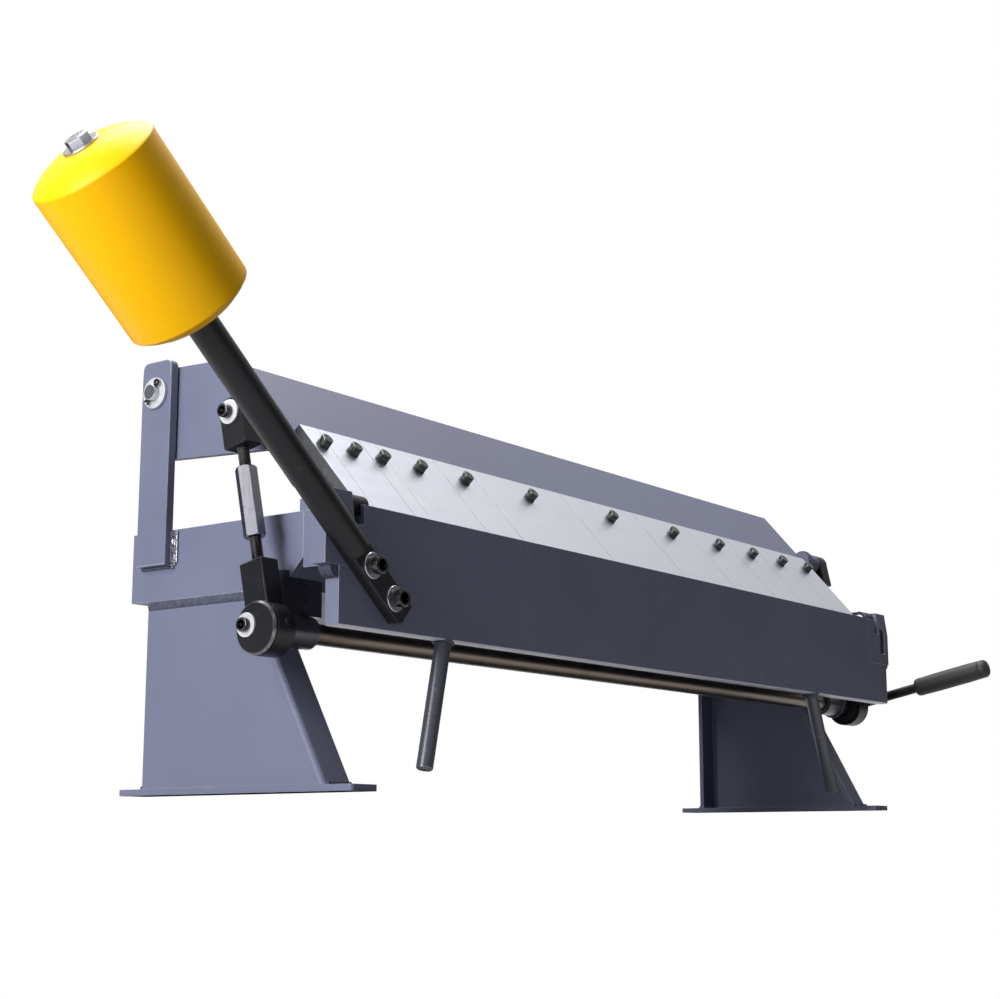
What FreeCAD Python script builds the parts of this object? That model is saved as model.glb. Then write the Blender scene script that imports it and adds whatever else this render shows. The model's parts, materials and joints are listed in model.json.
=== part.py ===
import FreeCAD, Part
import math
import os

os.makedirs("parts", exist_ok=True)

# Frame: x runs along the bed, "depth" runs forward from the legs' back faces, z runs up from the
# underside of the feet. The stored part faces -Y, so y = HALF_FOOT_HOLES - depth.
# Side pieces are drawn at the right end (+x) and mirrored to the left end.

# Side frames
FRAME_FACE_X = 540.0
PLATE = 6.0
LEG_FLANGE = 36.0
LEG_TOP_Z = 186.0
LEG_FRONT_AT_FLOOR = 240.0
LEG_FRONT_SLOPE = 0.5353
LEG_BEND_R = 5.0

# Feet, with one bolt hole before and one behind each leg
FOOT_T = 6.0
FOOT_BACK = -31.0
FOOT_FRONT = 269.0
FOOT_HOLE_R = 5.5
FOOT_HOLE_INSET = 16.0
FOOT_CORNER_R = 4.0

# Bed
BED_TOP_Z = 254.0
BED_BACK = -22.0
BED_KNEE = 182.0
BED_RAMP_SLOPE = 1.04
BAR_BACK = 206.0
BAR_FRONT = 249.0
BAR_H = 53.0
BAR_EDGE_R = 1.0

# Bending axis and apron
AXIS_ABOVE_BED = 2.0
APRON_TO_BAR = 1.0
APRON_HALF = 557.5
APRON_T = 16.0
APRON_H = 112.0
APRON_BELOW_AXIS = 1.0
APRON_NOTCH_X = 505.0
APRON_NOTCH_H = 59.0
APRON_EDGE_C = 1.2

# Hinges of the apron
KNUCKLE_R = 10.0
HINGE_PIN_R = 6.0
HINGE_RUN = 0.05
HINGE_SEAM = 0.4
KNUCKLE_GAP = 0.5
FRAME_KNUCKLE_IN_X = 511.5
FRAME_KNUCKLE_INSET = 4.0
KNUCKLE_SIDE_GAP = 1.0
HINGE_PLATE_OUT = 26.0
LEFT_EAR_EXTRA = 10.0
HINGE_BLOCK_BACK = 200.5
HINGE_BLOCK_H = 11.5
EAR_SWEEP = 16.0
EAR_LOW_Z = 236.0
EAR_TOP_FRONT = 262.0
EAR_ABOVE_AXIS = 9.5
TAB_OUT_X = 525.0
TAB_GAP = 1.4
HINGE_SLOT_IN_X = 541.0
HINGE_SLOT_W = 15.0
HINGE_SLOT_H = 34.0
HINGE_SLOT_R = 4.0
HINGE_SLOT_LOW = 14.0
HINGE_SLOT_DEEP = 7.0
POCKET_D = 13.0
POCKET_H = 14.0

# Apron handles: root x, tip x, common tip height
HANDLE_R = 8.0
HANDLE_TIP_Z = 21.5
HANDLE_LEFT_ROOT = -400.0
HANDLE_LEFT_TIP = -427.0
HANDLE_RIGHT_ROOT = 348.0
HANDLE_RIGHT_TIP = 398.0
HANDLE_END_C = 1.5

# Counterweight on its slanted arm
ARM_R = 14.0
ARM_X = -527.3
ARM_Z = 197.7
ARM_ANGLE = 40.0
ARM_DEPTH_OFF_APRON = 6.0
ARM_FLAT = 6.0
ARM_FLAT_START = 20.0
ARM_FOOT_Z = 150.0
ARM_SCREW_PITCH = 41.0
ARM_LEN = 403.5
ARM_END_OFF = 22.0
WEIGHT_R = 55.0
WEIGHT_L = 139.0
WEIGHT_CENTRE = 362.5
WEIGHT_CONE = 14.5
WEIGHT_CONE_R = 20.0
WEIGHT_BOLT_R = 6.0
WEIGHT_BOLT_AF = 18.0
WEIGHT_BOLT_H = 6.5
WEIGHT_BOLT_L = 70.0
WEIGHT_WASHER_R = 16.0
WEIGHT_WASHER_T = 2.0
ARM_SCREW_R = 5.0
ARM_SCREW_HEAD_R = 8.5
ARM_SCREW_HEAD_H = 10.0
ARM_SCREW_GRIP = 10.0
ARM_WASHER_R = 12.0
ARM_WASHER_T = 2.5

# Uprights and the beam's pivot
UPRIGHT_W = 40.0
UPRIGHT_T = 10.0
UPRIGHT_BACK = -6.0
UPRIGHT_FOOT_Z = 219.0
UPRIGHT_TOP_Z = 424.0
UPRIGHT_CORNER_R = 7.0
PIVOT_DEPTH = 14.0
PIVOT_Z = 391.0
PIVOT_PIN_R = 8.0
PIVOT_RUN = 0.05
PIVOT_PIN_END = 6.0
PIVOT_WASHER_R = 15.5
PIVOT_WASHER_T = 3.0
PIVOT_SIDE_GAP = 0.4
COTTER_R = 1.6
COTTER_EYE_R = 3.4
COTTER_EYE_BORE_R = 1.6
COTTER_LEN = 22.0
COTTER_ANGLE = 55.0
COTTER_FROM_END = 3.0

# Beam
BEAM_FACE_X = 538.0
BEAM_END_T = 8.0
BEAM_TOP_T = 8.0
BEAM_LIP_T = 5.0
BEAM_LIP_H = 38.0
BEAM_FACE_T = 14.0
BEAM_BACK = -2.0
BEAM_TOP_BACK_Z = 419.0
BEAM_TOP_DEPTH = 96.0
BEAM_TOP_Z = 415.0
BEAM_LOW_BACK_Z = 326.5
BEAM_LOW_DEPTH = 154.0
BEAM_LOW_Z = 319.0
FACE_ANGLE = 48.9
FACE_LEN = 172.0
FACE_CORNER_X = 512.0
FACE_CORNER_Z = 346.0

# Fingers: widths from the left end
FINGER_WIDTHS = (25.0, 60.0, 25.0, 90.0, 60.0, 170.0, 150.0, 120.0, 100.0, 75.0, 85.0, 60.0)
FINGER_GAP = 0.2
FINGER_T = 10.0
FINGER_TOP_DOWN_FACE = 100.4
FINGER_LEN = 122.0
FINGER_TO_BED = 0.8
FINGER_EDGE_C = 0.3
SCREW_DOWN = 28.0
SCREW_R = 4.0
SCREW_HOLE_R = 4.3
SCREW_HEAD_R = 6.5
SCREW_HEAD_H = 8.0
SCREW_WASHER_R = 6.9
SCREW_WASHER_T = 2.0
SOCKET_DEPTH = 4.0

# Clamp shaft, its bearings and its eccentrics
SHAFT_DEPTH = 188.0
SHAFT_Z = 145.0
SHAFT_R = 10.0
SHAFT_RUN = 0.05
BOSS_R = 15.5
BOSS_IN_X = 512.0
BOSS_OUT_X = 562.5
BRACKET_BACK = 182.0
BRACKET_IN_X = 496.0
BRACKET_OUT_X = 548.0
BRACKET_T = 8.0
BRACKET_TOP_Z = 200.0
ECC_FORWARD = 9.6
ECC_DOWN = 3.0
CAM_R = 19.75
CAM_START_X = 563.5
DISC_R = 24.5
DISC_START_X = 587.0
DISC_T = 4.0
DISC_EDGE_C = 2.0
END_WASHER_R = 11.0
END_WASHER_T = 2.5
END_HEAD_R = 6.5
END_HEAD_H = 5.5
END_BOLT_R = 4.0
END_BOLT_L = 20.0

# Clamp lever at the right end
HUB_R = 17.0
HUB_L = 20.0
HUB_GAP = 0.5
LEVER_R = 6.5
LEVER_ANGLE = 12.0
LEVER_LEN = 209.0
GRIP_R = 12.5
GRIP_L = 105.0
GRIP_END_C = 3.5

# Links with turnbuckles, leaning back from the eccentric to the beam
LINK_MID_X = 575.0
LINK_W = 28.0
LINK_T = 22.0
LINK_UPPER_DEPTH = 154.0
LINK_UPPER_Z = 345.0
STRAP_R = 24.5
STRAP_RUN = 1.5
LOWER_BLOCK_TOP = 63.5
ROD_R = 5.0
ROD_RUN = 0.05
NUT_START = 87.0
NUT_LEN = 67.5
NUT_AF = 18.0
NUT_END_C = 1.4
ROD_IN_NUT = 24.0
UPPER_BLOCK_START = 174.5
BLOCK_EDGE_C = 1.0
LINK_BOLT_R = 4.0
LINK_BOLT_RUN = 0.05
LINK_BOLT_HEAD_R = 6.5
LINK_BOLT_HEAD_H = 8.0
LINK_WASHER_R = 11.5
LINK_WASHER_T = 2.5
LUG_R = 14.0
LUG_GAP = 0.6
OIL_PLUG_R = 3.0
OIL_PLUG_H = 2.0
SIDE_PLAY = 0.4

# Derived places
HALF_FOOT_HOLES = (FOOT_BACK + FOOT_FRONT) / 2.0
AXIS_DEPTH = BAR_FRONT + APRON_TO_BAR
AXIS_Z = BED_TOP_Z + AXIS_ABOVE_BED
FRAME_KNUCKLE_OUT_X = FRAME_FACE_X - FRAME_KNUCKLE_INSET
APRON_TOP_Z = AXIS_Z - APRON_BELOW_AXIS
APRON_LOW_Z = APRON_TOP_Z - APRON_H
APRON_FRONT = AXIS_DEPTH + APRON_T
FOOT_MID_X = FRAME_FACE_X - LEG_FLANGE / 2.0
ECC_DEPTH = SHAFT_DEPTH + ECC_FORWARD
ECC_Z = SHAFT_Z - ECC_DOWN
LINK_LEN = math.hypot(LINK_UPPER_DEPTH - ECC_DEPTH, LINK_UPPER_Z - ECC_Z)
LINK_LEAN = math.degrees(math.atan2(ECC_DEPTH - LINK_UPPER_DEPTH, LINK_UPPER_Z - ECC_Z))
LINK_IN_X = LINK_MID_X - LINK_T / 2.0
LINK_OUT_X = LINK_MID_X + LINK_T / 2.0
FACE_COS = math.cos(math.radians(FACE_ANGLE))
FACE_SIN = math.sin(math.radians(FACE_ANGLE))
ARM_COS = math.cos(math.radians(ARM_ANGLE))
ARM_SIN = math.sin(math.radians(ARM_ANGLE))
ARM_DEPTH = APRON_FRONT + ARM_DEPTH_OFF_APRON


# Drawing helpers
def at(x, depth, z):
    return FreeCAD.Vector(x, HALF_FOOT_HOLES - depth, z)


def prism(outline, x0, x1):
    points = [at(x0, d, z) for d, z in outline]
    face = Part.Face(Part.makePolygon(points + [points[0]]))
    return face.extrude(FreeCAD.Vector(x1 - x0, 0, 0))


def block(x0, x1, d0, d1, z0, z1):
    return prism([(d0, z0), (d1, z0), (d1, z1), (d0, z1)], x0, x1)


def rod_x(radius, x0, x1, depth, z):
    return Part.makeCylinder(radius, x1 - x0, at(x0, depth, z), FreeCAD.Vector(1, 0, 0))


def rod(radius, start, end):
    way = end.sub(start)
    return Part.makeCylinder(radius, way.Length, start, way)


def hexagon(across_flats, start, way, length):
    way = FreeCAD.Vector(way).normalize()
    side = FreeCAD.Vector(1, 0, 0)
    if abs(way.x) > 0.9:
        side = FreeCAD.Vector(0, 0, 1)
    other = way.cross(side).normalize()
    side = other.cross(way).normalize()
    radius = across_flats / math.sqrt(3.0)
    points = []
    for step in range(6):
        angle = math.radians(60.0 * step)
        points.append(start + side * (radius * math.cos(angle)) + other * (radius * math.sin(angle)))
    face = Part.Face(Part.makePolygon(points + [points[0]]))
    return face.extrude(way * length)


def edges_where(shape, test):
    return [edge for edge in shape.Edges if test(edge)]


def along_x(edge):
    a = edge.Vertexes[0].Point
    b = edge.Vertexes[-1].Point
    return abs(a.x - b.x) > 0.01 and abs(a.y - b.y) < 0.01 and abs(a.z - b.z) < 0.01


def save(name, shape):
    shape.removeSplitter().exportStep("parts/" + name + ".step")


def mirrored(shape):
    return shape.mirror(FreeCAD.Vector(0, 0, 0), FreeCAD.Vector(1, 0, 0))


def save_pair(name, shape):
    save(name + "_right", shape)
    save(name + "_left", mirrored(shape))


def save_both(name, shape):
    save(name, Part.makeCompound([shape, mirrored(shape)]))


def cap_screw(head_r, head_h, shank_r, shank_l, seat, out):
    out = FreeCAD.Vector(out).normalize()
    head = Part.makeCylinder(head_r, head_h, seat, out)
    head = head.makeChamfer(0.6, edges_where(head, lambda e: abs((e.CenterOfMass - seat).dot(out) - head_h) < 0.01))
    socket = hexagon(head_r, seat + out * (head_h - SOCKET_DEPTH), out, SOCKET_DEPTH + 1.0)
    shank = Part.makeCylinder(shank_r, shank_l, seat, out * -1.0)
    return head.cut(socket).fuse(shank)


# Legs: channels with the open side inward
leg_front_low = LEG_FRONT_AT_FLOOR - LEG_FRONT_SLOPE * FOOT_T
leg_front_top = LEG_FRONT_AT_FLOOR - LEG_FRONT_SLOPE * LEG_TOP_Z
leg = prism([(0, FOOT_T), (leg_front_low, FOOT_T), (leg_front_top, LEG_TOP_Z), (0, LEG_TOP_Z)],
            FRAME_FACE_X - LEG_FLANGE, FRAME_FACE_X)
leg_bends = edges_where(leg, lambda e: abs(e.CenterOfMass.x - FRAME_FACE_X) < 0.01
                        and FOOT_T + 1.0 < e.CenterOfMass.z < LEG_TOP_Z - 1.0)
leg = leg.makeFillet(LEG_BEND_R, leg_bends)
front_wall = PLATE * math.sqrt(1.0 + LEG_FRONT_SLOPE ** 2)
leg_hollow = prism([(PLATE, FOOT_T - 1.0),
                    (LEG_FRONT_AT_FLOOR - LEG_FRONT_SLOPE * (FOOT_T - 1.0) - front_wall, FOOT_T - 1.0),
                    (LEG_FRONT_AT_FLOOR - LEG_FRONT_SLOPE * (LEG_TOP_Z + 1.0) - front_wall, LEG_TOP_Z + 1.0),
                    (PLATE, LEG_TOP_Z + 1.0)],
                   FRAME_FACE_X - LEG_FLANGE - 1.0, FRAME_FACE_X - PLATE)
save_pair("leg", leg.cut(leg_hollow))

# Foot plates with their bolt holes
foot = block(FRAME_FACE_X - LEG_FLANGE, FRAME_FACE_X, FOOT_BACK, FOOT_FRONT, 0.0, FOOT_T)
foot_corners = edges_where(foot, lambda e: abs(e.Vertexes[0].Point.z - e.Vertexes[-1].Point.z) > 1.0)
foot = foot.makeFillet(FOOT_CORNER_R, foot_corners)
for hole_depth in (FOOT_BACK + FOOT_HOLE_INSET, FOOT_FRONT - FOOT_HOLE_INSET):
    foot = foot.cut(Part.makeCylinder(FOOT_HOLE_R, FOOT_T + 2.0, at(FOOT_MID_X, hole_depth, -1.0)))
save_pair("foot_plate", foot)

# Bed: end plates, top, back and bent lower plate
ramp_top_z = LEG_TOP_Z + (BAR_BACK - BED_KNEE) * BED_RAMP_SLOPE
save_pair("bed_end_plate", prism([(BED_BACK, LEG_TOP_Z), (BED_KNEE, LEG_TOP_Z), (BAR_BACK, ramp_top_z),
                                  (BAR_BACK, BED_TOP_Z), (BED_BACK, BED_TOP_Z)],
                                 FRAME_FACE_X - PLATE, FRAME_FACE_X))
bed_half = FRAME_FACE_X - PLATE
save("bed_top_plate", block(-bed_half, bed_half, BED_BACK, BAR_BACK, BED_TOP_Z - PLATE, BED_TOP_Z))
save("bed_back_plate", block(-bed_half, bed_half, BED_BACK, BED_BACK + PLATE, LEG_TOP_Z, BED_TOP_Z - PLATE))
ramp_wall = PLATE * math.sqrt(1.0 + BED_RAMP_SLOPE ** 2)
inner_knee = BED_KNEE + (PLATE - ramp_wall) / BED_RAMP_SLOPE
save("bed_lower_plate", prism([(BED_BACK + PLATE, LEG_TOP_Z), (BED_KNEE, LEG_TOP_Z), (BAR_BACK, ramp_top_z),
                               (BAR_BACK, ramp_top_z + ramp_wall), (inner_knee, LEG_TOP_Z + PLATE),
                               (BED_BACK + PLATE, LEG_TOP_Z + PLATE)], -bed_half, bed_half))

# Anvil bar along the bed's front, pocketed at its ends for the hinges
bar = block(-FRAME_FACE_X, FRAME_FACE_X, BAR_BACK, BAR_FRONT, BED_TOP_Z - BAR_H, BED_TOP_Z)
bar = bar.makeChamfer(BAR_EDGE_R, edges_where(bar, lambda e: along_x(e) and e.CenterOfMass.z < BED_TOP_Z - 1.0))
pocket = block(FRAME_KNUCKLE_IN_X, FRAME_FACE_X + 1.0, BAR_FRONT - POCKET_D, BAR_FRONT + 1.0,
               BED_TOP_Z - POCKET_H, BED_TOP_Z + 1.0)
save("anvil_bar", bar.cut(pocket).cut(mirrored(pocket)))

# Frame side of the apron hinges
hinge_out_x = FRAME_FACE_X + HINGE_PLATE_OUT
block_top_z = BED_TOP_Z + HINGE_BLOCK_H
frame_hinge = block(FRAME_KNUCKLE_IN_X, FRAME_KNUCKLE_OUT_X, BAR_FRONT - POCKET_D, BAR_FRONT,
                    BED_TOP_Z - POCKET_H, BED_TOP_Z)
frame_hinge = frame_hinge.fuse(block(FRAME_KNUCKLE_IN_X, FRAME_KNUCKLE_OUT_X, BAR_BACK, AXIS_DEPTH,
                                     BED_TOP_Z, block_top_z))
frame_hinge = frame_hinge.fuse(block(FRAME_FACE_X - PLATE, FRAME_FACE_X, HINGE_BLOCK_BACK, AXIS_DEPTH - EAR_SWEEP,
                                     BED_TOP_Z, block_top_z))
frame_hinge = frame_hinge.fuse(rod_x(KNUCKLE_R, FRAME_KNUCKLE_IN_X, FRAME_KNUCKLE_OUT_X, AXIS_DEPTH, AXIS_Z))
hinge_pin = rod_x(HINGE_PIN_R, FRAME_KNUCKLE_IN_X, hinge_out_x, AXIS_DEPTH, AXIS_Z)
save_pair("frame_hinge", frame_hinge.cut(hinge_pin))
left_pin = rod_x(HINGE_PIN_R, FRAME_KNUCKLE_IN_X, hinge_out_x + LEFT_EAR_EXTRA, AXIS_DEPTH, AXIS_Z)
save("hinge_pins", Part.makeCompound([
    hinge_pin.makeChamfer(0.8, hinge_pin.Edges[0:1] + hinge_pin.Edges[2:3]),
    mirrored(left_pin.makeChamfer(0.8, left_pin.Edges[0:1] + left_pin.Edges[2:3]))]))

# Uprights that carry the beam
upright = block(FRAME_FACE_X, FRAME_FACE_X + UPRIGHT_T, UPRIGHT_BACK, UPRIGHT_BACK + UPRIGHT_W,
                UPRIGHT_FOOT_Z, UPRIGHT_TOP_Z)
upright_corners = edges_where(upright, lambda e: along_x(e) and e.CenterOfMass.z > UPRIGHT_TOP_Z - 1.0)
upright = upright.makeFillet(UPRIGHT_CORNER_R, upright_corners)
upright = upright.cut(rod_x(PIVOT_PIN_R + PIVOT_RUN, FRAME_FACE_X - 1.0, FRAME_FACE_X + UPRIGHT_T + 1.0,
                            PIVOT_DEPTH, PIVOT_Z))
save_pair("upright", upright)

# Clamp shaft bearings hung from the bed by a plate
ramp_at_bracket = LEG_TOP_Z + BRACKET_T * BED_RAMP_SLOPE
bearing = prism([(BRACKET_BACK, SHAFT_Z), (BRACKET_BACK + BRACKET_T, SHAFT_Z),
                 (BRACKET_BACK + BRACKET_T, ramp_at_bracket), (BRACKET_BACK, LEG_TOP_Z)],
                BRACKET_IN_X, FRAME_FACE_X)
bearing = bearing.fuse(block(FRAME_FACE_X, BRACKET_OUT_X, BRACKET_BACK, BRACKET_BACK + BRACKET_T,
                             SHAFT_Z, BRACKET_TOP_Z))
bearing = bearing.cut(block(BRACKET_IN_X - 1.0, BOSS_IN_X, BRACKET_BACK - 1.0, BRACKET_BACK + BRACKET_T + 1.0,
                            SHAFT_Z - 1.0, SHAFT_Z + BOSS_R))
bearing = bearing.fuse(rod_x(BOSS_R, BOSS_IN_X, BOSS_OUT_X, SHAFT_DEPTH, SHAFT_Z))
bearing = bearing.cut(rod_x(SHAFT_R + SHAFT_RUN, BOSS_IN_X - 1.0, BOSS_OUT_X + 1.0, SHAFT_DEPTH, SHAFT_Z))
save_pair("shaft_bearing", bearing)


# Beam: slanted face plate, bent shell behind it and end plates
def on_face(down, lift):
    return (BEAM_TOP_DEPTH + down * FACE_COS + lift * FACE_SIN,
            BEAM_TOP_Z - down * FACE_SIN + lift * FACE_COS)


face_plate = prism([on_face(0.0, 0.0), on_face(FACE_LEN, 0.0), on_face(FACE_LEN, -BEAM_FACE_T),
                    on_face(0.0, -BEAM_FACE_T)], -BEAM_FACE_X, BEAM_FACE_X)
top_slope = (BEAM_TOP_BACK_Z - BEAM_TOP_Z) / (BEAM_TOP_DEPTH - BEAM_BACK)
low_slope = (BEAM_LOW_BACK_Z - BEAM_LOW_Z) / (BEAM_LOW_DEPTH - BEAM_BACK)
above = prism([(BEAM_BACK, BEAM_TOP_BACK_Z), (BEAM_TOP_DEPTH + 100.0, BEAM_TOP_Z - top_slope * 100.0),
               (BEAM_TOP_DEPTH + 100.0, BEAM_TOP_Z + 50.0), (BEAM_BACK, BEAM_TOP_BACK_Z + 50.0)],
              -BEAM_FACE_X - 1.0, BEAM_FACE_X + 1.0)
face_plate = face_plate.cut(above)


def at_back_of_face(z):
    lift = (z - BEAM_TOP_Z + BEAM_FACE_T * FACE_COS) / FACE_SIN
    return BEAM_TOP_DEPTH - BEAM_FACE_T * FACE_SIN - lift * FACE_COS


low_meets_z = BEAM_LOW_Z - low_slope * 20.0
low_meets = at_back_of_face(low_meets_z)
section = [(BEAM_BACK, BEAM_TOP_BACK_Z), (BEAM_TOP_DEPTH, BEAM_TOP_Z),
           (low_meets, low_meets_z), (BEAM_BACK, BEAM_LOW_BACK_Z)]
end_x = BEAM_FACE_X - BEAM_END_T
solid_beam = prism(section, -end_x, end_x).cut(face_plate)
below_z = BEAM_TOP_BACK_Z - BEAM_TOP_T
beam_shell = solid_beam.cut(prism([(BEAM_BACK, below_z), (LINK_UPPER_DEPTH + 90.0, below_z - top_slope * 90.0),
                                   (LINK_UPPER_DEPTH + 90.0, BED_TOP_Z), (BEAM_BACK, BED_TOP_Z)],
                                  -end_x - 1.0, end_x + 1.0))
beam_shell = beam_shell.fuse(block(-end_x, end_x, BEAM_BACK, BEAM_BACK + BEAM_LIP_T,
                                   BEAM_TOP_BACK_Z - BEAM_LIP_H, below_z + 1.0))
save("beam_shell", beam_shell)

end_plate = prism(section, end_x, BEAM_FACE_X).cut(face_plate)
lug = rod_x(LUG_R, BEAM_FACE_X, LINK_IN_X - LUG_GAP, LINK_UPPER_DEPTH, LINK_UPPER_Z)
end_plate = end_plate.fuse(rod_x(LUG_R, end_x, BEAM_FACE_X, LINK_UPPER_DEPTH, LINK_UPPER_Z).cut(face_plate))
end_plate = end_plate.fuse(lug)
end_plate = end_plate.cut(rod_x(PIVOT_PIN_R, end_x - 1.0, BEAM_FACE_X + 1.0, PIVOT_DEPTH, PIVOT_Z))
end_plate = end_plate.cut(rod_x(LINK_BOLT_R, end_x - 1.0, LINK_IN_X, LINK_UPPER_DEPTH, LINK_UPPER_Z))
save_pair("beam_end_plate", end_plate)

# Fingers and the screws that hold them
finger_profile = [on_face(FINGER_TOP_DOWN_FACE, 0.0), on_face(FINGER_TOP_DOWN_FACE + FINGER_LEN + 30.0, 0.0),
                  on_face(FINGER_TOP_DOWN_FACE + FINGER_LEN + 30.0, FINGER_T),
                  on_face(FINGER_TOP_DOWN_FACE, FINGER_T)]
finger_low_z = BED_TOP_Z + FINGER_TO_BED
finger_x = -sum(FINGER_WIDTHS) / 2.0
screw_holes = []
screws = []
for number, width in enumerate(FINGER_WIDTHS, start=1):
    x0 = finger_x + FINGER_GAP / 2.0
    x1 = finger_x + width - FINGER_GAP / 2.0
    finger = prism(finger_profile, x0, x1)
    finger = finger.cut(block(x0 - 1.0, x1 + 1.0, BAR_BACK - 50.0, BAR_FRONT + 60.0, BED_TOP_Z - 60.0,
                              finger_low_z))
    finger = finger.cut(block(x0 - 1.0, x1 + 1.0, AXIS_DEPTH - 0.6, BAR_FRONT + 60.0, BED_TOP_Z - 60.0,
                              BED_TOP_Z + 60.0))
    middle = (x0 + x1) / 2.0
    seat_depth, seat_z = on_face(FINGER_TOP_DOWN_FACE + SCREW_DOWN, FINGER_T)
    seat = at(middle, seat_depth, seat_z)
    out = at(0.0, FACE_SIN, FACE_COS) - at(0.0, 0.0, 0.0)
    hole = rod(SCREW_HOLE_R, seat + out * 1.0, seat - out * (FINGER_T + 1.0))
    finger = finger.cut(hole)
    chamfered = edges_where(finger, lambda e: abs(e.CenterOfMass.x - x0) < 0.01 or abs(e.CenterOfMass.x - x1) < 0.01)
    finger = finger.makeChamfer(FINGER_EDGE_C, chamfered)
    save("finger_%02d" % number, finger)
    washer = Part.makeCylinder(SCREW_WASHER_R, SCREW_WASHER_T, seat, out)
    screw = cap_screw(SCREW_HEAD_R, SCREW_HEAD_H, SCREW_R, FINGER_T + BEAM_FACE_T + SCREW_WASHER_T,
                      seat + out * SCREW_WASHER_T, out)
    screws.append(washer.fuse(screw))
    screw_holes.append(rod(SCREW_R, seat, seat - out * (FINGER_T + BEAM_FACE_T + 5.0)))
    finger_x = finger_x + width
save("finger_screws", Part.makeCompound(screws))
link_bolt_hole = rod_x(LINK_BOLT_R, end_x - 1.0, BEAM_FACE_X + 1.0, LINK_UPPER_DEPTH, LINK_UPPER_Z)
face_corner = block(FACE_CORNER_X, BEAM_FACE_X + 1.0, BEAM_TOP_DEPTH, BAR_FRONT, BED_TOP_Z, FACE_CORNER_Z)
face_plate = face_plate.cut(link_bolt_hole).cut(mirrored(link_bolt_hole))
face_plate = face_plate.cut(face_corner).cut(mirrored(face_corner))
save("beam_face_plate", face_plate.cut(Part.makeCompound(screw_holes)))

# Pivot pins with washers and cotter pins, fixed to the beam
washer_x = FRAME_FACE_X + UPRIGHT_T + PIVOT_SIDE_GAP
pivot_end = washer_x + PIVOT_WASHER_T + PIVOT_PIN_END
pivot_pin = rod_x(PIVOT_PIN_R, end_x, pivot_end, PIVOT_DEPTH, PIVOT_Z)
pivot_pin = pivot_pin.makeChamfer(0.8, edges_where(pivot_pin, lambda e: abs(e.CenterOfMass.x - pivot_end) < 0.01))
cotter_way = at(0.0, math.cos(math.radians(COTTER_ANGLE)), math.sin(math.radians(COTTER_ANGLE))) - at(0.0, 0.0, 0.0)
cotter_mid = at(pivot_end - COTTER_FROM_END, PIVOT_DEPTH, PIVOT_Z)
cotter_hole = rod(COTTER_R, cotter_mid - cotter_way * 12.0, cotter_mid + cotter_way * 12.0)
save_both("pivot_pins", pivot_pin.cut(cotter_hole))
pivot_washer = rod_x(PIVOT_WASHER_R, washer_x, washer_x + PIVOT_WASHER_T, PIVOT_DEPTH, PIVOT_Z)
save_both("pivot_washers", pivot_washer.cut(rod_x(PIVOT_PIN_R, washer_x - 1.0, pivot_end, PIVOT_DEPTH, PIVOT_Z)))
cotter_head = cotter_mid + cotter_way * (PIVOT_PIN_R + 1.0)
cotter = rod(COTTER_R, cotter_mid - cotter_way * (COTTER_LEN - PIVOT_PIN_R - 1.0), cotter_head)
eye_mid = cotter_head + cotter_way * (COTTER_EYE_R - COTTER_R)
eye_half = FreeCAD.Vector(COTTER_R * 0.8, 0, 0)
eye = rod(COTTER_EYE_R, eye_mid - eye_half, eye_mid + eye_half)
cotter = cotter.fuse(eye).cut(rod(COTTER_EYE_BORE_R, eye_mid - eye_half * 2.0, eye_mid + eye_half * 2.0))
save_both("cotter_pins", cotter)

# Apron with its upper corners cut away for the hinge plates
notch_z = APRON_TOP_Z - APRON_NOTCH_H
apron = block(-APRON_HALF, APRON_HALF, AXIS_DEPTH, APRON_FRONT, APRON_LOW_Z, APRON_TOP_Z)
apron = apron.makeChamfer(APRON_EDGE_C, edges_where(apron, lambda e: along_x(e) and e.CenterOfMass.z < APRON_LOW_Z + 1.0))
notch = block(APRON_NOTCH_X, APRON_HALF + 1.0, AXIS_DEPTH - 1.0, APRON_FRONT + 1.0, notch_z, APRON_TOP_Z + 1.0)
apron = apron.cut(notch).cut(mirrored(notch))

# Apron side of the hinges, its ear reaching out to the given x
plate_top_z = AXIS_Z - KNUCKLE_R - KNUCKLE_GAP
ear_in_x = FRAME_KNUCKLE_OUT_X + KNUCKLE_SIDE_GAP
ear_top_z = AXIS_Z + EAR_ABOVE_AXIS
seam_x = APRON_NOTCH_X + HINGE_SEAM


def apron_hinge(out_x):
    hinge = block(seam_x, out_x, AXIS_DEPTH, APRON_FRONT, notch_z, EAR_LOW_Z)
    hinge = hinge.fuse(block(seam_x, TAB_OUT_X, AXIS_DEPTH, APRON_FRONT, EAR_LOW_Z, plate_top_z))
    hinge = hinge.fuse(block(seam_x, TAB_OUT_X, AXIS_DEPTH + KNUCKLE_R + TAB_GAP, APRON_FRONT,
                             plate_top_z, APRON_TOP_Z))
    hinge = hinge.fuse(prism([(AXIS_DEPTH, EAR_LOW_Z), (APRON_FRONT, EAR_LOW_Z),
                              (EAR_TOP_FRONT, ear_top_z), (AXIS_DEPTH, ear_top_z)], ear_in_x, out_x))
    hinge = hinge.fuse(rod_x(KNUCKLE_R, ear_in_x, out_x, AXIS_DEPTH, AXIS_Z))
    return hinge.cut(rod_x(HINGE_PIN_R + HINGE_RUN, ear_in_x - 1.0, out_x + 1.0, AXIS_DEPTH, AXIS_Z))


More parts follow.
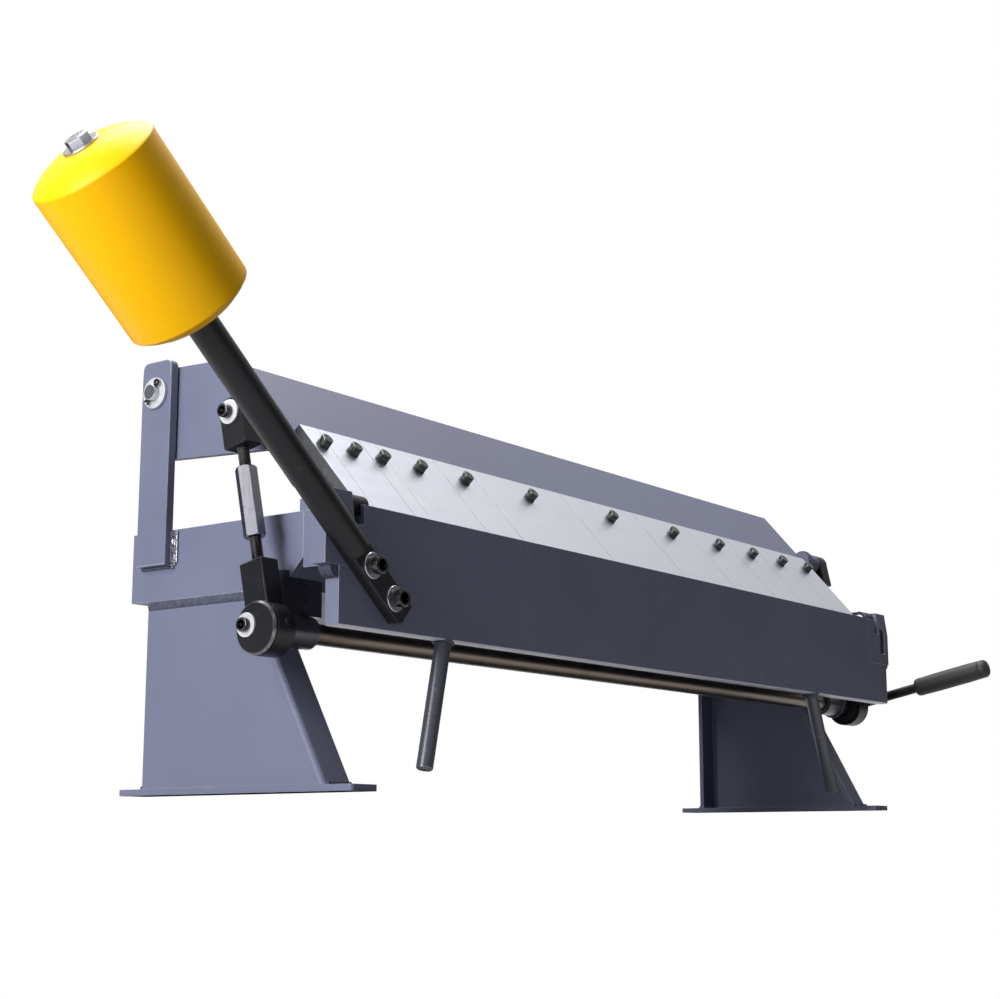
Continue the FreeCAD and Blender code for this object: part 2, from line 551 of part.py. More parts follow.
slot = block(HINGE_SLOT_IN_X, HINGE_SLOT_IN_X + HINGE_SLOT_W, APRON_FRONT - HINGE_SLOT_DEEP, APRON_FRONT + 1.0,
             notch_z + HINGE_SLOT_LOW, notch_z + HINGE_SLOT_LOW + HINGE_SLOT_H)
slot = slot.makeFillet(HINGE_SLOT_R, edges_where(slot, lambda e: abs(e.Vertexes[0].Point.y
                                                                     - e.Vertexes[-1].Point.y) > 1.0))
save("apron_hinge_right", apron_hinge(hinge_out_x).cut(slot))


# Apron handles
def handle(root_x, tip_x):
    mid_depth = (AXIS_DEPTH + APRON_FRONT) / 2.0
    root = at(root_x, mid_depth, APRON_LOW_Z)
    tip = at(tip_x, mid_depth, HANDLE_TIP_Z)
    way = tip.sub(root).normalize()
    bar_shape = rod(HANDLE_R, root - way * HANDLE_R, tip)
    ends = edges_where(bar_shape, lambda e: (e.CenterOfMass - tip).Length < 0.01)
    bar_shape = bar_shape.makeChamfer(HANDLE_END_C, ends)
    reach = HANDLE_R * 5.0
    return bar_shape.cut(block(root_x - reach, root_x + reach, AXIS_DEPTH - reach, APRON_FRONT + reach,
                               APRON_LOW_Z, APRON_LOW_Z + reach))


save("handle_left", handle(HANDLE_LEFT_ROOT, HANDLE_LEFT_TIP))
save("handle_right", handle(HANDLE_RIGHT_ROOT, HANDLE_RIGHT_TIP))


# Counterweight arm, measured along its axis from its upper screw
def on_arm(distance, depth=ARM_DEPTH):
    return at(ARM_X - ARM_COS * distance, depth, ARM_Z + ARM_SIN * distance)


cut_size = ARM_R * 3.0
arm = rod(ARM_R, on_arm(-ARM_SCREW_PITCH - ARM_END_OFF), on_arm(ARM_LEN))
arm = arm.cut(block(-APRON_HALF - APRON_NOTCH_H, 0.0, AXIS_DEPTH, APRON_FRONT, 0.0, AXIS_Z + cut_size))
flat_depth = ARM_DEPTH + ARM_FLAT
arm_out = at(0.0, 1.0, 0.0) - at(0.0, 0.0, 0.0)
flat_cut = Part.makeBox(cut_size * 5.0, cut_size, cut_size * 2.0, FreeCAD.Vector(0, 0, -cut_size))
flat_cut.Placement = FreeCAD.Placement(on_arm(ARM_FLAT_START, flat_depth + cut_size),
                                       FreeCAD.Rotation(FreeCAD.Vector(0, 1, 0), ARM_ANGLE))
arm = arm.cut(flat_cut)
arm = arm.cut(block(-APRON_HALF, 0.0, ARM_DEPTH - cut_size, ARM_DEPTH + cut_size, 0.0, ARM_FOOT_Z))
arm_screws = []
apron_holes = []
for distance in (0.0, -ARM_SCREW_PITCH):
    seat = on_arm(distance, flat_depth)
    washer = Part.makeCylinder(ARM_WASHER_R, ARM_WASHER_T, seat, arm_out)
    screw = cap_screw(ARM_SCREW_HEAD_R, ARM_SCREW_HEAD_H, ARM_SCREW_R,
                      ARM_WASHER_T + flat_depth - APRON_FRONT + ARM_SCREW_GRIP, seat + arm_out * ARM_WASHER_T, arm_out)
    arm_screws.append(washer.fuse(screw))
    apron_holes.append(rod(ARM_SCREW_R, seat + arm_out * 1.0,
                           on_arm(distance, APRON_FRONT - ARM_SCREW_GRIP)))
holes = Part.makeCompound(apron_holes)
bolt_bore = rod(WEIGHT_BOLT_R, on_arm(ARM_LEN - 60.0), on_arm(ARM_LEN + 1.0))
save("counterweight_arm", arm.cut(holes).cut(bolt_bore))
save("arm_screws", Part.makeCompound(arm_screws))
save("apron_plate", apron.cut(holes))
save("apron_hinge_left", mirrored(apron_hinge(hinge_out_x + LEFT_EAR_EXTRA)).cut(holes))

# Counterweight with short cones at both ends
weight_low = WEIGHT_CENTRE - WEIGHT_L / 2.0
weight_high = WEIGHT_CENTRE + WEIGHT_L / 2.0
arm_way = on_arm(1.0) - on_arm(0.0)
weight = rod(WEIGHT_R, on_arm(weight_low), on_arm(weight_high))
weight = weight.fuse(Part.makeCone(WEIGHT_R, WEIGHT_CONE_R, WEIGHT_CONE, on_arm(weight_high), arm_way))
weight = weight.fuse(Part.makeCone(WEIGHT_R, WEIGHT_CONE_R, WEIGHT_CONE, on_arm(weight_low), arm_way * -1.0))
weight = weight.cut(rod(ARM_R, on_arm(weight_low - WEIGHT_CONE - 1.0), on_arm(ARM_LEN)))
weight = weight.cut(rod(WEIGHT_BOLT_R, on_arm(ARM_LEN - 1.0), on_arm(weight_high + WEIGHT_CONE + 1.0)))
save("counterweight", weight)
bolt_seat = on_arm(weight_high + WEIGHT_CONE)
weight_bolt = Part.makeCylinder(WEIGHT_WASHER_R, WEIGHT_WASHER_T, bolt_seat, arm_way)
weight_bolt = weight_bolt.fuse(hexagon(WEIGHT_BOLT_AF, bolt_seat + arm_way * WEIGHT_WASHER_T, arm_way, WEIGHT_BOLT_H))
weight_bolt = weight_bolt.fuse(rod(WEIGHT_BOLT_R, bolt_seat - arm_way * WEIGHT_BOLT_L, bolt_seat))
save("weight_bolt", weight_bolt)

# Clamp shaft, ending at the disc on the left and in the lever's hub on the right
disc_out_x = DISC_START_X + DISC_T
hub_in_x = disc_out_x + HUB_GAP
hub_out_x = hub_in_x + HUB_L
shaft = rod_x(SHAFT_R, -disc_out_x, hub_out_x, SHAFT_DEPTH, SHAFT_Z)
end_holes = rod_x(END_BOLT_R, -disc_out_x - 1.0, -disc_out_x + END_BOLT_L, SHAFT_DEPTH, SHAFT_Z)
end_holes = end_holes.fuse(rod_x(END_BOLT_R, hub_out_x - END_BOLT_L, hub_out_x + 1.0, SHAFT_DEPTH, SHAFT_Z))
save("clamp_shaft", shaft.cut(end_holes))
end_bolts = []
for seat_x, way_x in ((-disc_out_x, -1.0), (hub_out_x, 1.0)):
    way = FreeCAD.Vector(way_x, 0, 0)
    seat = at(seat_x, SHAFT_DEPTH, SHAFT_Z)
    washer = Part.makeCylinder(END_WASHER_R, END_WASHER_T, seat, way)
    end_bolts.append(washer.fuse(cap_screw(END_HEAD_R, END_HEAD_H, END_BOLT_R, END_WASHER_T + END_BOLT_L,
                                           seat + way * END_WASHER_T, way)))
save("shaft_end_bolts", Part.makeCompound(end_bolts))

# Eccentrics: cam and retaining disc about the offset centre
eccentric = rod_x(CAM_R, CAM_START_X, DISC_START_X, ECC_DEPTH, ECC_Z)
disc = rod_x(DISC_R, DISC_START_X, disc_out_x, ECC_DEPTH, ECC_Z)
disc = disc.makeChamfer(DISC_EDGE_C, edges_where(disc, lambda e: abs(e.CenterOfMass.x - disc_out_x) < 0.01))
eccentric = eccentric.fuse(disc)
eccentric = eccentric.cut(rod_x(SHAFT_R, CAM_START_X - 1.0, disc_out_x + 1.0, SHAFT_DEPTH, SHAFT_Z))
save_pair("eccentric", eccentric)

# Clamp lever and its grip
lever_cos = math.cos(math.radians(LEVER_ANGLE))
lever_sin = math.sin(math.radians(LEVER_ANGLE))
lever_x = (hub_in_x + hub_out_x) / 2.0


def on_lever(distance):
    return at(lever_x, SHAFT_DEPTH + lever_cos * distance, SHAFT_Z + lever_sin * distance)


hub = rod_x(HUB_R, hub_in_x, hub_out_x, SHAFT_DEPTH, SHAFT_Z)
hub = hub.makeChamfer(1.0, edges_where(hub, lambda e: e.Closed and e.Curve.TypeId == "Part::GeomCircle"))
lever = hub.fuse(rod(LEVER_R, on_lever(SHAFT_R + 2.0), on_lever(LEVER_LEN - 6.0)))
lever = lever.cut(rod_x(SHAFT_R, hub_in_x - 1.0, hub_out_x + 1.0, SHAFT_DEPTH, SHAFT_Z))
save("clamp_lever", lever)
grip = rod(GRIP_R, on_lever(LEVER_LEN - GRIP_L), on_lever(LEVER_LEN))
grip = grip.makeChamfer(GRIP_END_C, edges_where(grip, lambda e: e.Curve.TypeId == "Part::GeomCircle"))
save("lever_grip", grip.cut(rod(LEVER_R, on_lever(SHAFT_R), on_lever(LEVER_LEN - 6.0))))

# Links, drawn upright over the eccentric's centre and then leaned back
ecc_centre = at(LINK_MID_X, ECC_DEPTH, ECC_Z)


def leaned(shape):
    shape = shape.copy()
    shape.rotate(ecc_centre, FreeCAD.Vector(1, 0, 0), -LINK_LEAN)
    return shape


def link_rod(radius, low, high):
    return rod(radius, at(LINK_MID_X, ECC_DEPTH, ECC_Z + low), at(LINK_MID_X, ECC_DEPTH, ECC_Z + high))


half_w = LINK_W / 2.0
lower = block(LINK_IN_X, LINK_OUT_X, ECC_DEPTH - half_w, ECC_DEPTH + half_w, ECC_Z + CAM_R, ECC_Z + LOWER_BLOCK_TOP)
lower = lower.makeChamfer(BLOCK_EDGE_C, edges_where(lower, lambda e: e.CenterOfMass.z > ECC_Z + CAM_R + 1.0))
lower = lower.fuse(rod_x(STRAP_R, LINK_IN_X + SIDE_PLAY, LINK_OUT_X, ECC_DEPTH, ECC_Z))
lower = lower.cut(rod_x(CAM_R + STRAP_RUN, LINK_IN_X - 1.0, LINK_OUT_X + 1.0, ECC_DEPTH, ECC_Z))
lower = lower.fuse(link_rod(ROD_R, LOWER_BLOCK_TOP - 1.0, NUT_START + ROD_IN_NUT))
lower = lower.fuse(rod(OIL_PLUG_R, at(LINK_MID_X, ECC_DEPTH + STRAP_R - 1.5, ECC_Z),
                       at(LINK_MID_X, ECC_DEPTH + STRAP_R + OIL_PLUG_H, ECC_Z)))
save_pair("link_lower", leaned(lower))

nut = hexagon(NUT_AF, at(LINK_MID_X, ECC_DEPTH, ECC_Z + NUT_START), FreeCAD.Vector(0, 0, 1), NUT_LEN)
nut_blank = link_rod(NUT_AF / math.sqrt(3.0), NUT_START, NUT_START + NUT_LEN)
nut_blank = nut_blank.makeChamfer(NUT_END_C, edges_where(nut_blank, lambda e: e.Curve.TypeId == "Part::GeomCircle"))
nut = nut.common(nut_blank)
nut = nut.cut(link_rod(ROD_R + ROD_RUN, NUT_START - 1.0, NUT_START + NUT_LEN + 1.0))
save_pair("turnbuckle", leaned(nut))

upper = block(LINK_IN_X, LINK_OUT_X, ECC_DEPTH - half_w, ECC_DEPTH + half_w, ECC_Z + UPPER_BLOCK_START, ECC_Z + LINK_LEN)
upper = upper.makeChamfer(BLOCK_EDGE_C, edges_where(upper, lambda e: e.CenterOfMass.z < ECC_Z + LINK_LEN - 1.0))
upper = upper.fuse(rod_x(half_w, LINK_IN_X, LINK_OUT_X, ECC_DEPTH, ECC_Z + LINK_LEN))
upper = upper.cut(rod_x(LINK_BOLT_R + LINK_BOLT_RUN, LINK_IN_X - 1.0, LINK_OUT_X + 1.0, ECC_DEPTH, ECC_Z + LINK_LEN))
upper = upper.fuse(link_rod(ROD_R, NUT_START + NUT_LEN - ROD_IN_NUT, UPPER_BLOCK_START + 1.0))
save_pair("link_upper", leaned(upper))

# Bolts that join the links to the beam
link_seat = at(LINK_OUT_X + SIDE_PLAY, LINK_UPPER_DEPTH, LINK_UPPER_Z)
outward = FreeCAD.Vector(1, 0, 0)
link_bolt = Part.makeCylinder(LINK_WASHER_R, LINK_WASHER_T, link_seat, outward)
link_bolt = link_bolt.fuse(cap_screw(LINK_BOLT_HEAD_R, LINK_BOLT_HEAD_H, LINK_BOLT_R,
                                     link_seat.x + LINK_WASHER_T - end_x, link_seat + outward * LINK_WASHER_T,
                                     outward))
save_both("link_bolts", link_bolt)
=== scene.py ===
# %% [markdown]
# # Box and pan brake
# A bench machine that folds sheet metal. A slanted beam with separate steel fingers presses the sheet on the
# bed, and the apron in front of it swings up and folds the sheet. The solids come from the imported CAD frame.
# Here they get rounded edges, welds, threads, turned details and painted or ground surfaces.

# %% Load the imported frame
import json
import math
import random

import bmesh
import bpy
from mathutils import Matrix, Vector


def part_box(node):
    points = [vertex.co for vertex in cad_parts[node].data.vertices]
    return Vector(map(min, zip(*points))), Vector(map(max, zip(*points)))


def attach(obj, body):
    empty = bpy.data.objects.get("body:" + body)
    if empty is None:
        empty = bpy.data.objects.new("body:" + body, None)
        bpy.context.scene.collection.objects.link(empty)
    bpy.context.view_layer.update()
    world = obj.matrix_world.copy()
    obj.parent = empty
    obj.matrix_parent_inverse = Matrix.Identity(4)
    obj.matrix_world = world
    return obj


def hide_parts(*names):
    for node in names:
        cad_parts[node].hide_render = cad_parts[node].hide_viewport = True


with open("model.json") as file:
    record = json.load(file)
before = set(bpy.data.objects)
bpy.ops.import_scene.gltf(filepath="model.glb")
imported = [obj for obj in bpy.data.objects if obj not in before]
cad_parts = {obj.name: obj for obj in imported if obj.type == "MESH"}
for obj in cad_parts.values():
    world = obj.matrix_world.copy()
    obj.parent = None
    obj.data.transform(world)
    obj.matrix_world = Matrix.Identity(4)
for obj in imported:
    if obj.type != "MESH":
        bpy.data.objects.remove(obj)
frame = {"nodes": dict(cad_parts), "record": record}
nodes = frame["nodes"]
bodies = {node: body for body, members in frame["record"]["behaviour"]["bodies"].items() for node in members}
slots = {part["node"]: part["material_slot"] for part in frame["record"]["subparts"]}
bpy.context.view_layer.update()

# %% [markdown]
# ## Camera
# The photograph was taken from the left front, a little below the feet. Its straight edges were fitted by one
# camera, whose place, direction and lens are repeated here. The frame is nearly square, so the lens is set for
# a sensor 36 mm wide.

# %% Camera
CAMERA_PLACE = Vector((-1.7363, -1.2072, -0.0487))
CAMERA_YAW = math.radians(36.84)
CAMERA_PITCH = math.radians(10.87)
CAMERA_LENS = 65.26
SENSOR_WIDTH = 36.0
CLIP_START = 0.05

camera_data = bpy.data.cameras.new("camera")
camera_data.lens = CAMERA_LENS
camera_data.sensor_width = SENSOR_WIDTH
camera_data.clip_start = CLIP_START
camera = bpy.data.objects.new("camera", camera_data)
camera.location = CAMERA_PLACE
look = Vector((math.cos(CAMERA_PITCH) * math.cos(CAMERA_YAW),
               math.cos(CAMERA_PITCH) * math.sin(CAMERA_YAW),
               math.sin(CAMERA_PITCH)))
camera.rotation_mode = "QUATERNION"
camera.rotation_quaternion = look.to_track_quat("-Z", "Y")
bpy.context.scene.collection.objects.link(camera)
bpy.context.scene.camera = camera
bpy.context.scene.view_settings.view_transform = "Standard"
print("camera looks along", tuple(round(v, 3) for v in look))

# %% [markdown]
# ## Light
# The faces that look to the left are the bright ones in the photograph, the slanted beam is nearly as bright,
# and the upright front faces are dark. So a wide lamp stands high at the left, and a smaller one stands low
# there for the underside of the counterweight. A third hangs above and a little behind. The world adds only a
# weak even light. Its white is what the camera sees behind the machine, and not light on it. Polished metal
# sees a studio that is white overhead and dim near the ground, so that the slanted fingers gleam while black
# parts stay black.

# %% World
WORLD_FILL = 0.03
GLOSS_LOW = 0.10
GLOSS_HIGH = 1.0
GLOSS_RISES_FROM = 0.15
GLOSS_RISES_TO = 0.65

world = bpy.data.worlds.new("studio")
bpy.context.scene.world = world
world.use_nodes = True
world_nodes = world.node_tree.nodes
world_links = world.node_tree.links
world_nodes.clear()
world_out = world_nodes.new("ShaderNodeOutputWorld")
background = world_nodes.new("ShaderNodeBackground")
background.inputs["Color"].default_value = (1.0, 1.0, 1.0, 1.0)
ray = world_nodes.new("ShaderNodeLightPath")
direction = world_nodes.new("ShaderNodeTexCoord")
upward = world_nodes.new("ShaderNodeSeparateXYZ")
world_links.new(direction.outputs["Generated"], upward.inputs[0])
gloss = world_nodes.new("ShaderNodeMapRange")
gloss.inputs["From Min"].default_value = GLOSS_RISES_FROM
gloss.inputs["From Max"].default_value = GLOSS_RISES_TO
gloss.inputs["To Min"].default_value = GLOSS_LOW
gloss.inputs["To Max"].default_value = GLOSS_HIGH
world_links.new(upward.outputs["Z"], gloss.inputs["Value"])
shiny = world_nodes.new("ShaderNodeMath")
shiny.operation = "MAXIMUM"
world_links.new(ray.outputs["Is Glossy Ray"], shiny.inputs[0])
world_links.new(ray.outputs["Is Transmission Ray"], shiny.inputs[1])
fill = world_nodes.new("ShaderNodeMix")
fill.inputs["A"].default_value = WORLD_FILL
world_links.new(gloss.outputs["Result"], fill.inputs["B"])
world_links.new(shiny.outputs[0], fill.inputs["Factor"])
seen = world_nodes.new("ShaderNodeMix")
seen.inputs["B"].default_value = 1.0
world_links.new(ray.outputs["Is Camera Ray"], seen.inputs["Factor"])
world_links.new(fill.outputs["Result"], seen.inputs["A"])
world_links.new(seen.outputs["Result"], background.inputs["Strength"])
world_links.new(background.outputs["Background"], world_out.inputs["Surface"])
print("world fill", WORLD_FILL, "gloss", GLOSS_LOW, "to", GLOSS_HIGH)

# %% Lamps
# Each lamp has its place and its width in metres, and its power in watts.
LAMPS = {
    "left_lamp": ((-3.6, 0.30, 1.75), 1.8, 90.0),
    "low_left_lamp": ((-3.0, -0.30, 0.42), 0.8, 50.0),
    "top_lamp": ((0.1, 0.35, 3.0), 2.4, 130.0),
}
LAMP_TARGET = Vector((0.0, 0.0, 0.25))

for name, (place, width, power) in LAMPS.items():
    data = bpy.data.lights.new(name, "AREA")
    data.shape = "SQUARE"
    data.size = width
    data.energy = power
    lamp = bpy.data.objects.new(name, data)
    lamp.location = place
    lamp.rotation_mode = "QUATERNION"
    lamp.rotation_quaternion = (LAMP_TARGET - Vector(place)).to_track_quat("-Z", "Y")
    bpy.context.scene.collection.objects.link(lamp)
print("lamps", list(LAMPS))

# %% [markdown]
# ## Floor
# The camera is lower than the feet, so a solid floor would hide the machine. The floor is a thin pale sheet
# that only shows from above: seen from below it lets the view through, while it still catches the shadow and
# sends a little light back up. That light is kept low, because the front of the machine is dark. Away from the
# machine, where no lamp reaches, the sheet glows white to the eye and runs into the background without a line.

# %% Floor
FLOOR_SIZE = 14.0
FLOOR_DROP = 0.0005
FLOOR_PALE = 0.86
FLOOR_BOUNCE = 0.26
GLOW_FROM = 0.9
GLOW_FULL = 2.1

floor_mesh = bpy.data.meshes.new("floor")
floor_bm = bmesh.new()
bmesh.ops.create_grid(floor_bm, x_segments=1, y_segments=1, size=FLOOR_SIZE / 2.0)
bmesh.ops.translate(floor_bm, verts=floor_bm.verts, vec=(0.0, 0.0, -FLOOR_DROP))
floor_bm.to_mesh(floor_mesh)
floor_bm.free()
floor = bpy.data.objects.new("floor", floor_mesh)
bpy.context.scene.collection.objects.link(floor)
floor_paint = bpy.data.materials.new("pale_floor")
floor_paint.use_nodes = True
floor_nodes = floor_paint.node_tree.nodes
floor_links = floor_paint.node_tree.links
floor_nodes.clear()
floor_out = floor_nodes.new("ShaderNodeOutputMaterial")
pale = floor_nodes.new("ShaderNodeBsdfDiffuse")
pale.inputs["Color"].default_value = (FLOOR_PALE, FLOOR_PALE, FLOOR_PALE, 1.0)
bounce = floor_nodes.new("ShaderNodeBsdfDiffuse")
bounce.inputs["Color"].default_value = (FLOOR_BOUNCE, FLOOR_BOUNCE, FLOOR_BOUNCE, 1.0)
clear = floor_nodes.new("ShaderNodeBsdfTransparent")
white = floor_nodes.new("ShaderNodeEmission")
floor_place = floor_nodes.new("ShaderNodeTexCoord")
far = floor_nodes.new("ShaderNodeVectorMath")
far.operation = "LENGTH"
glow = floor_nodes.new("ShaderNodeMapRange")
glow.interpolation_type = "SMOOTHSTEP"
glow.inputs["From Min"].default_value = GLOW_FROM
glow.inputs["From Max"].default_value = GLOW_FULL
floor_ray = floor_nodes.new("ShaderNodeLightPath")
floor_side = floor_nodes.new("ShaderNodeNewGeometry")
lit = floor_nodes.new("ShaderNodeMixShader")
glow_seen = floor_nodes.new("ShaderNodeMath")
glow_seen.operation = "MULTIPLY"
from_above = floor_nodes.new("ShaderNodeMixShader")
from_all_sides = floor_nodes.new("ShaderNodeMixShader")
floor_links.new(floor_ray.outputs["Is Diffuse Ray"], lit.inputs["Fac"])
floor_links.new(pale.outputs[0], lit.inputs[1])
floor_links.new(bounce.outputs[0], lit.inputs[2])
floor_links.new(floor_place.outputs["Object"], far.inputs[0])
floor_links.new(far.outputs["Value"], glow.inputs["Value"])
floor_links.new(glow.outputs["Result"], glow_seen.inputs[0])
floor_links.new(floor_ray.outputs["Is Camera Ray"], glow_seen.inputs[1])
floor_links.new(glow_seen.outputs[0], from_above.inputs["Fac"])
floor_links.new(lit.outputs[0], from_above.inputs[1])
floor_links.new(white.outputs[0], from_above.inputs[2])
floor_links.new(floor_side.outputs["Backfacing"], from_all_sides.inputs["Fac"])
floor_links.new(from_above.outputs[0], from_all_sides.inputs[1])
floor_links.new(clear.outputs[0], from_all_sides.inputs[2])
floor_links.new(from_all_sides.outputs[0], floor_out.inputs["Surface"])
floor_mesh.materials.append(floor_paint)
print("floor", FLOOR_SIZE, "m wide")

# %% [markdown]
# ## Shared surface effects
# Some effects return in many finishes, so each is a node group with named sockets. `fine_skin` is the small
# lumpy relief of sprayed paint. `ground_lines` are the fine parallel scratches of steel that was ground or
# drawn along the bed, and `upright_lines` are those of the upright nuts. `worn_patches` is a broken mask of
# rubbed and dusty places. All read Object coordinates, which are metres on the machine, so grain has its real
# size everywhere.


# %% Node group helpers
def new_group(name, inputs, outputs):
    tree = bpy.data.node_groups.new(name, "ShaderNodeTree")
    for label, value in inputs:
        socket = tree.interface.new_socket(label, in_out="INPUT", socket_type="NodeSocketFloat")
        socket.default_value = value
    for label in outputs:
        tree.interface.new_socket(label, in_out="OUTPUT", socket_type="NodeSocketFloat")
    return tree, tree.nodes.new("NodeGroupInput"), tree.nodes.new("NodeGroupOutput")


def scaled_coordinates(tree, stretch):
    coordinates = tree.nodes.new("ShaderNodeTexCoord")
    mapping = tree.nodes.new("ShaderNodeMapping")
    mapping.inputs["Scale"].default_value = stretch
    tree.links.new(coordinates.outputs["Object"], mapping.inputs["Vector"])
    return mapping.outputs["Vector"]


def noise_node(tree, vector, scale, detail, roughness=0.5):
    noise = tree.nodes.new("ShaderNodeTexNoise")
    noise.inputs["Scale"].default_value = scale
    noise.inputs["Detail"].default_value = detail
    noise.inputs["Roughness"].default_value = roughness
    tree.links.new(vector, noise.inputs["Vector"])
    return noise


def ramp_node(tree, value, low, high):
    ramp = tree.nodes.new("ShaderNodeMapRange")
    ramp.inputs["From Min"].default_value = low
    ramp.inputs["From Max"].default_value = high
    tree.links.new(value, ramp.inputs["Value"])
    return ramp.outputs["Result"]


def math_node(tree, operation, first, second):
    node = tree.nodes.new("ShaderNodeMath")
    node.operation = operation
    for socket, value in zip(node.inputs, (first, second)):
        if isinstance(value, (int, float)):
            socket.default_value = value
        else:
            tree.links.new(value, socket)
    return node.outputs[0]


# %% Fine skin of sprayed paint
SKIN_SCALE = 260.0
SKIN_COARSE = 45.0
SKIN_COARSE_SHARE = 0.6
CLOUD_SCALE = 6.0
CLOUD_FROM, CLOUD_TO = 0.3, 0.7
EVEN = (1.0, 1.0, 1.0)

skin_group, skin_in, skin_out = new_group("fine_skin", [("Scale", SKIN_SCALE), ("Coarse", SKIN_COARSE)],
                                          ["Height", "Mottle"])
skin_place = scaled_coordinates(skin_group, EVEN)
skin_fine = noise_node(skin_group, skin_place, SKIN_SCALE, 2.0)
skin_group.links.new(skin_in.outputs["Scale"], skin_fine.inputs["Scale"])
skin_coarse = noise_node(skin_group, skin_place, SKIN_COARSE, 4.0)
skin_group.links.new(skin_in.outputs["Coarse"], skin_coarse.inputs["Scale"])
skin_mix = math_node(skin_group, "MULTIPLY", skin_coarse.outputs["Fac"], SKIN_COARSE_SHARE)
skin_height = math_node(skin_group, "ADD", skin_fine.outputs["Fac"], skin_mix)
skin_group.links.new(skin_height, skin_out.inputs["Height"])
skin_cloud = noise_node(skin_group, skin_place, CLOUD_SCALE, 5.0, 0.6)
skin_mottle = ramp_node(skin_group, skin_cloud.outputs["Fac"], CLOUD_FROM, CLOUD_TO)
skin_group.links.new(skin_mottle, skin_out.inputs["Mottle"])
print("skin with", SKIN_SCALE, "lumps to the metre")

# %% Ground lines, along the bed and upright
# A stretch is low along the lines and high across them. The first is that of the fine lines, and the second
# that of the wide ones.
FINE_SHARE = 0.4
BED_LINES = ((14.0, 420.0, 420.0), (2.0, 60.0, 60.0))
UPRIGHT_LINES = ((300.0, 300.0, 20.0), (160.0, 160.0, 12.0))


def build_lines(name, fine_stretch, wide_stretch):
    group, group_in, group_out = new_group(name, [("Wear", 0.5)], ["Height", "Streak"])
    fine = noise_node(group, scaled_coordinates(group, fine_stretch), 3.0, 3.0, 0.6)
    wide = noise_node(group, scaled_coordinates(group, wide_stretch), 2.0, 4.0, 0.6)
    group.links.new(fine.outputs["Fac"], group_out.inputs["Height"])
    worn = math_node(group, "MULTIPLY", wide.outputs["Fac"], group_in.outputs["Wear"])
    total = math_node(group, "ADD", worn, math_node(group, "MULTIPLY", fine.outputs["Fac"], FINE_SHARE))
    group.links.new(total, group_out.inputs["Streak"])
    return group


lines_group = build_lines("ground_lines", *BED_LINES)
upright_group = build_lines("upright_lines", *UPRIGHT_LINES)

# %% Worn patches
WORN_SCALE = 18.0
WORN_START = 0.75
WORN_FULL = 0.82
WORN_REACH = 0.3

worn_group, worn_in, worn_out = new_group("worn_patches", [("Amount", 0.5), ("Scale", WORN_SCALE)], ["Mask"])
worn_noise = noise_node(worn_group, scaled_coordinates(worn_group, EVEN), WORN_SCALE, 8.0, 0.68)
worn_group.links.new(worn_in.outputs["Scale"], worn_noise.inputs["Scale"])
worn_share = math_node(worn_group, "MULTIPLY", worn_in.outputs["Amount"], WORN_REACH)
worn_low = math_node(worn_group, "SUBTRACT", WORN_START, worn_share)
worn_range = worn_group.nodes.new("ShaderNodeMapRange")
worn_group.links.new(worn_noise.outputs["Fac"], worn_range.inputs["Value"])
worn_group.links.new(worn_low, worn_range.inputs["From Min"])
worn_range.inputs["From Max"].default_value = WORN_FULL
worn_group.links.new(worn_range.outputs["Result"], worn_out.inputs["Mask"])
print("groups", [g.name for g in bpy.data.node_groups])

# %% [markdown]
# ## Finishes
# Each finish is one Principled shader fed by the groups. The frame's paint is a dark blue-grey with a fine
# lumpy skin. The screws, links and arm are blackened steel. The fingers are ground bright, the clamp shaft is
# bare drawn bar, the counterweight is smooth yellow, and washers and pins are zinc plated. In the table, `deep`
# is the colour that the grain mixes in, `rough` is the roughness and its spread, `relief` is the depth of the
# bumps in metres, and `worn` stands for the rubbed patches.


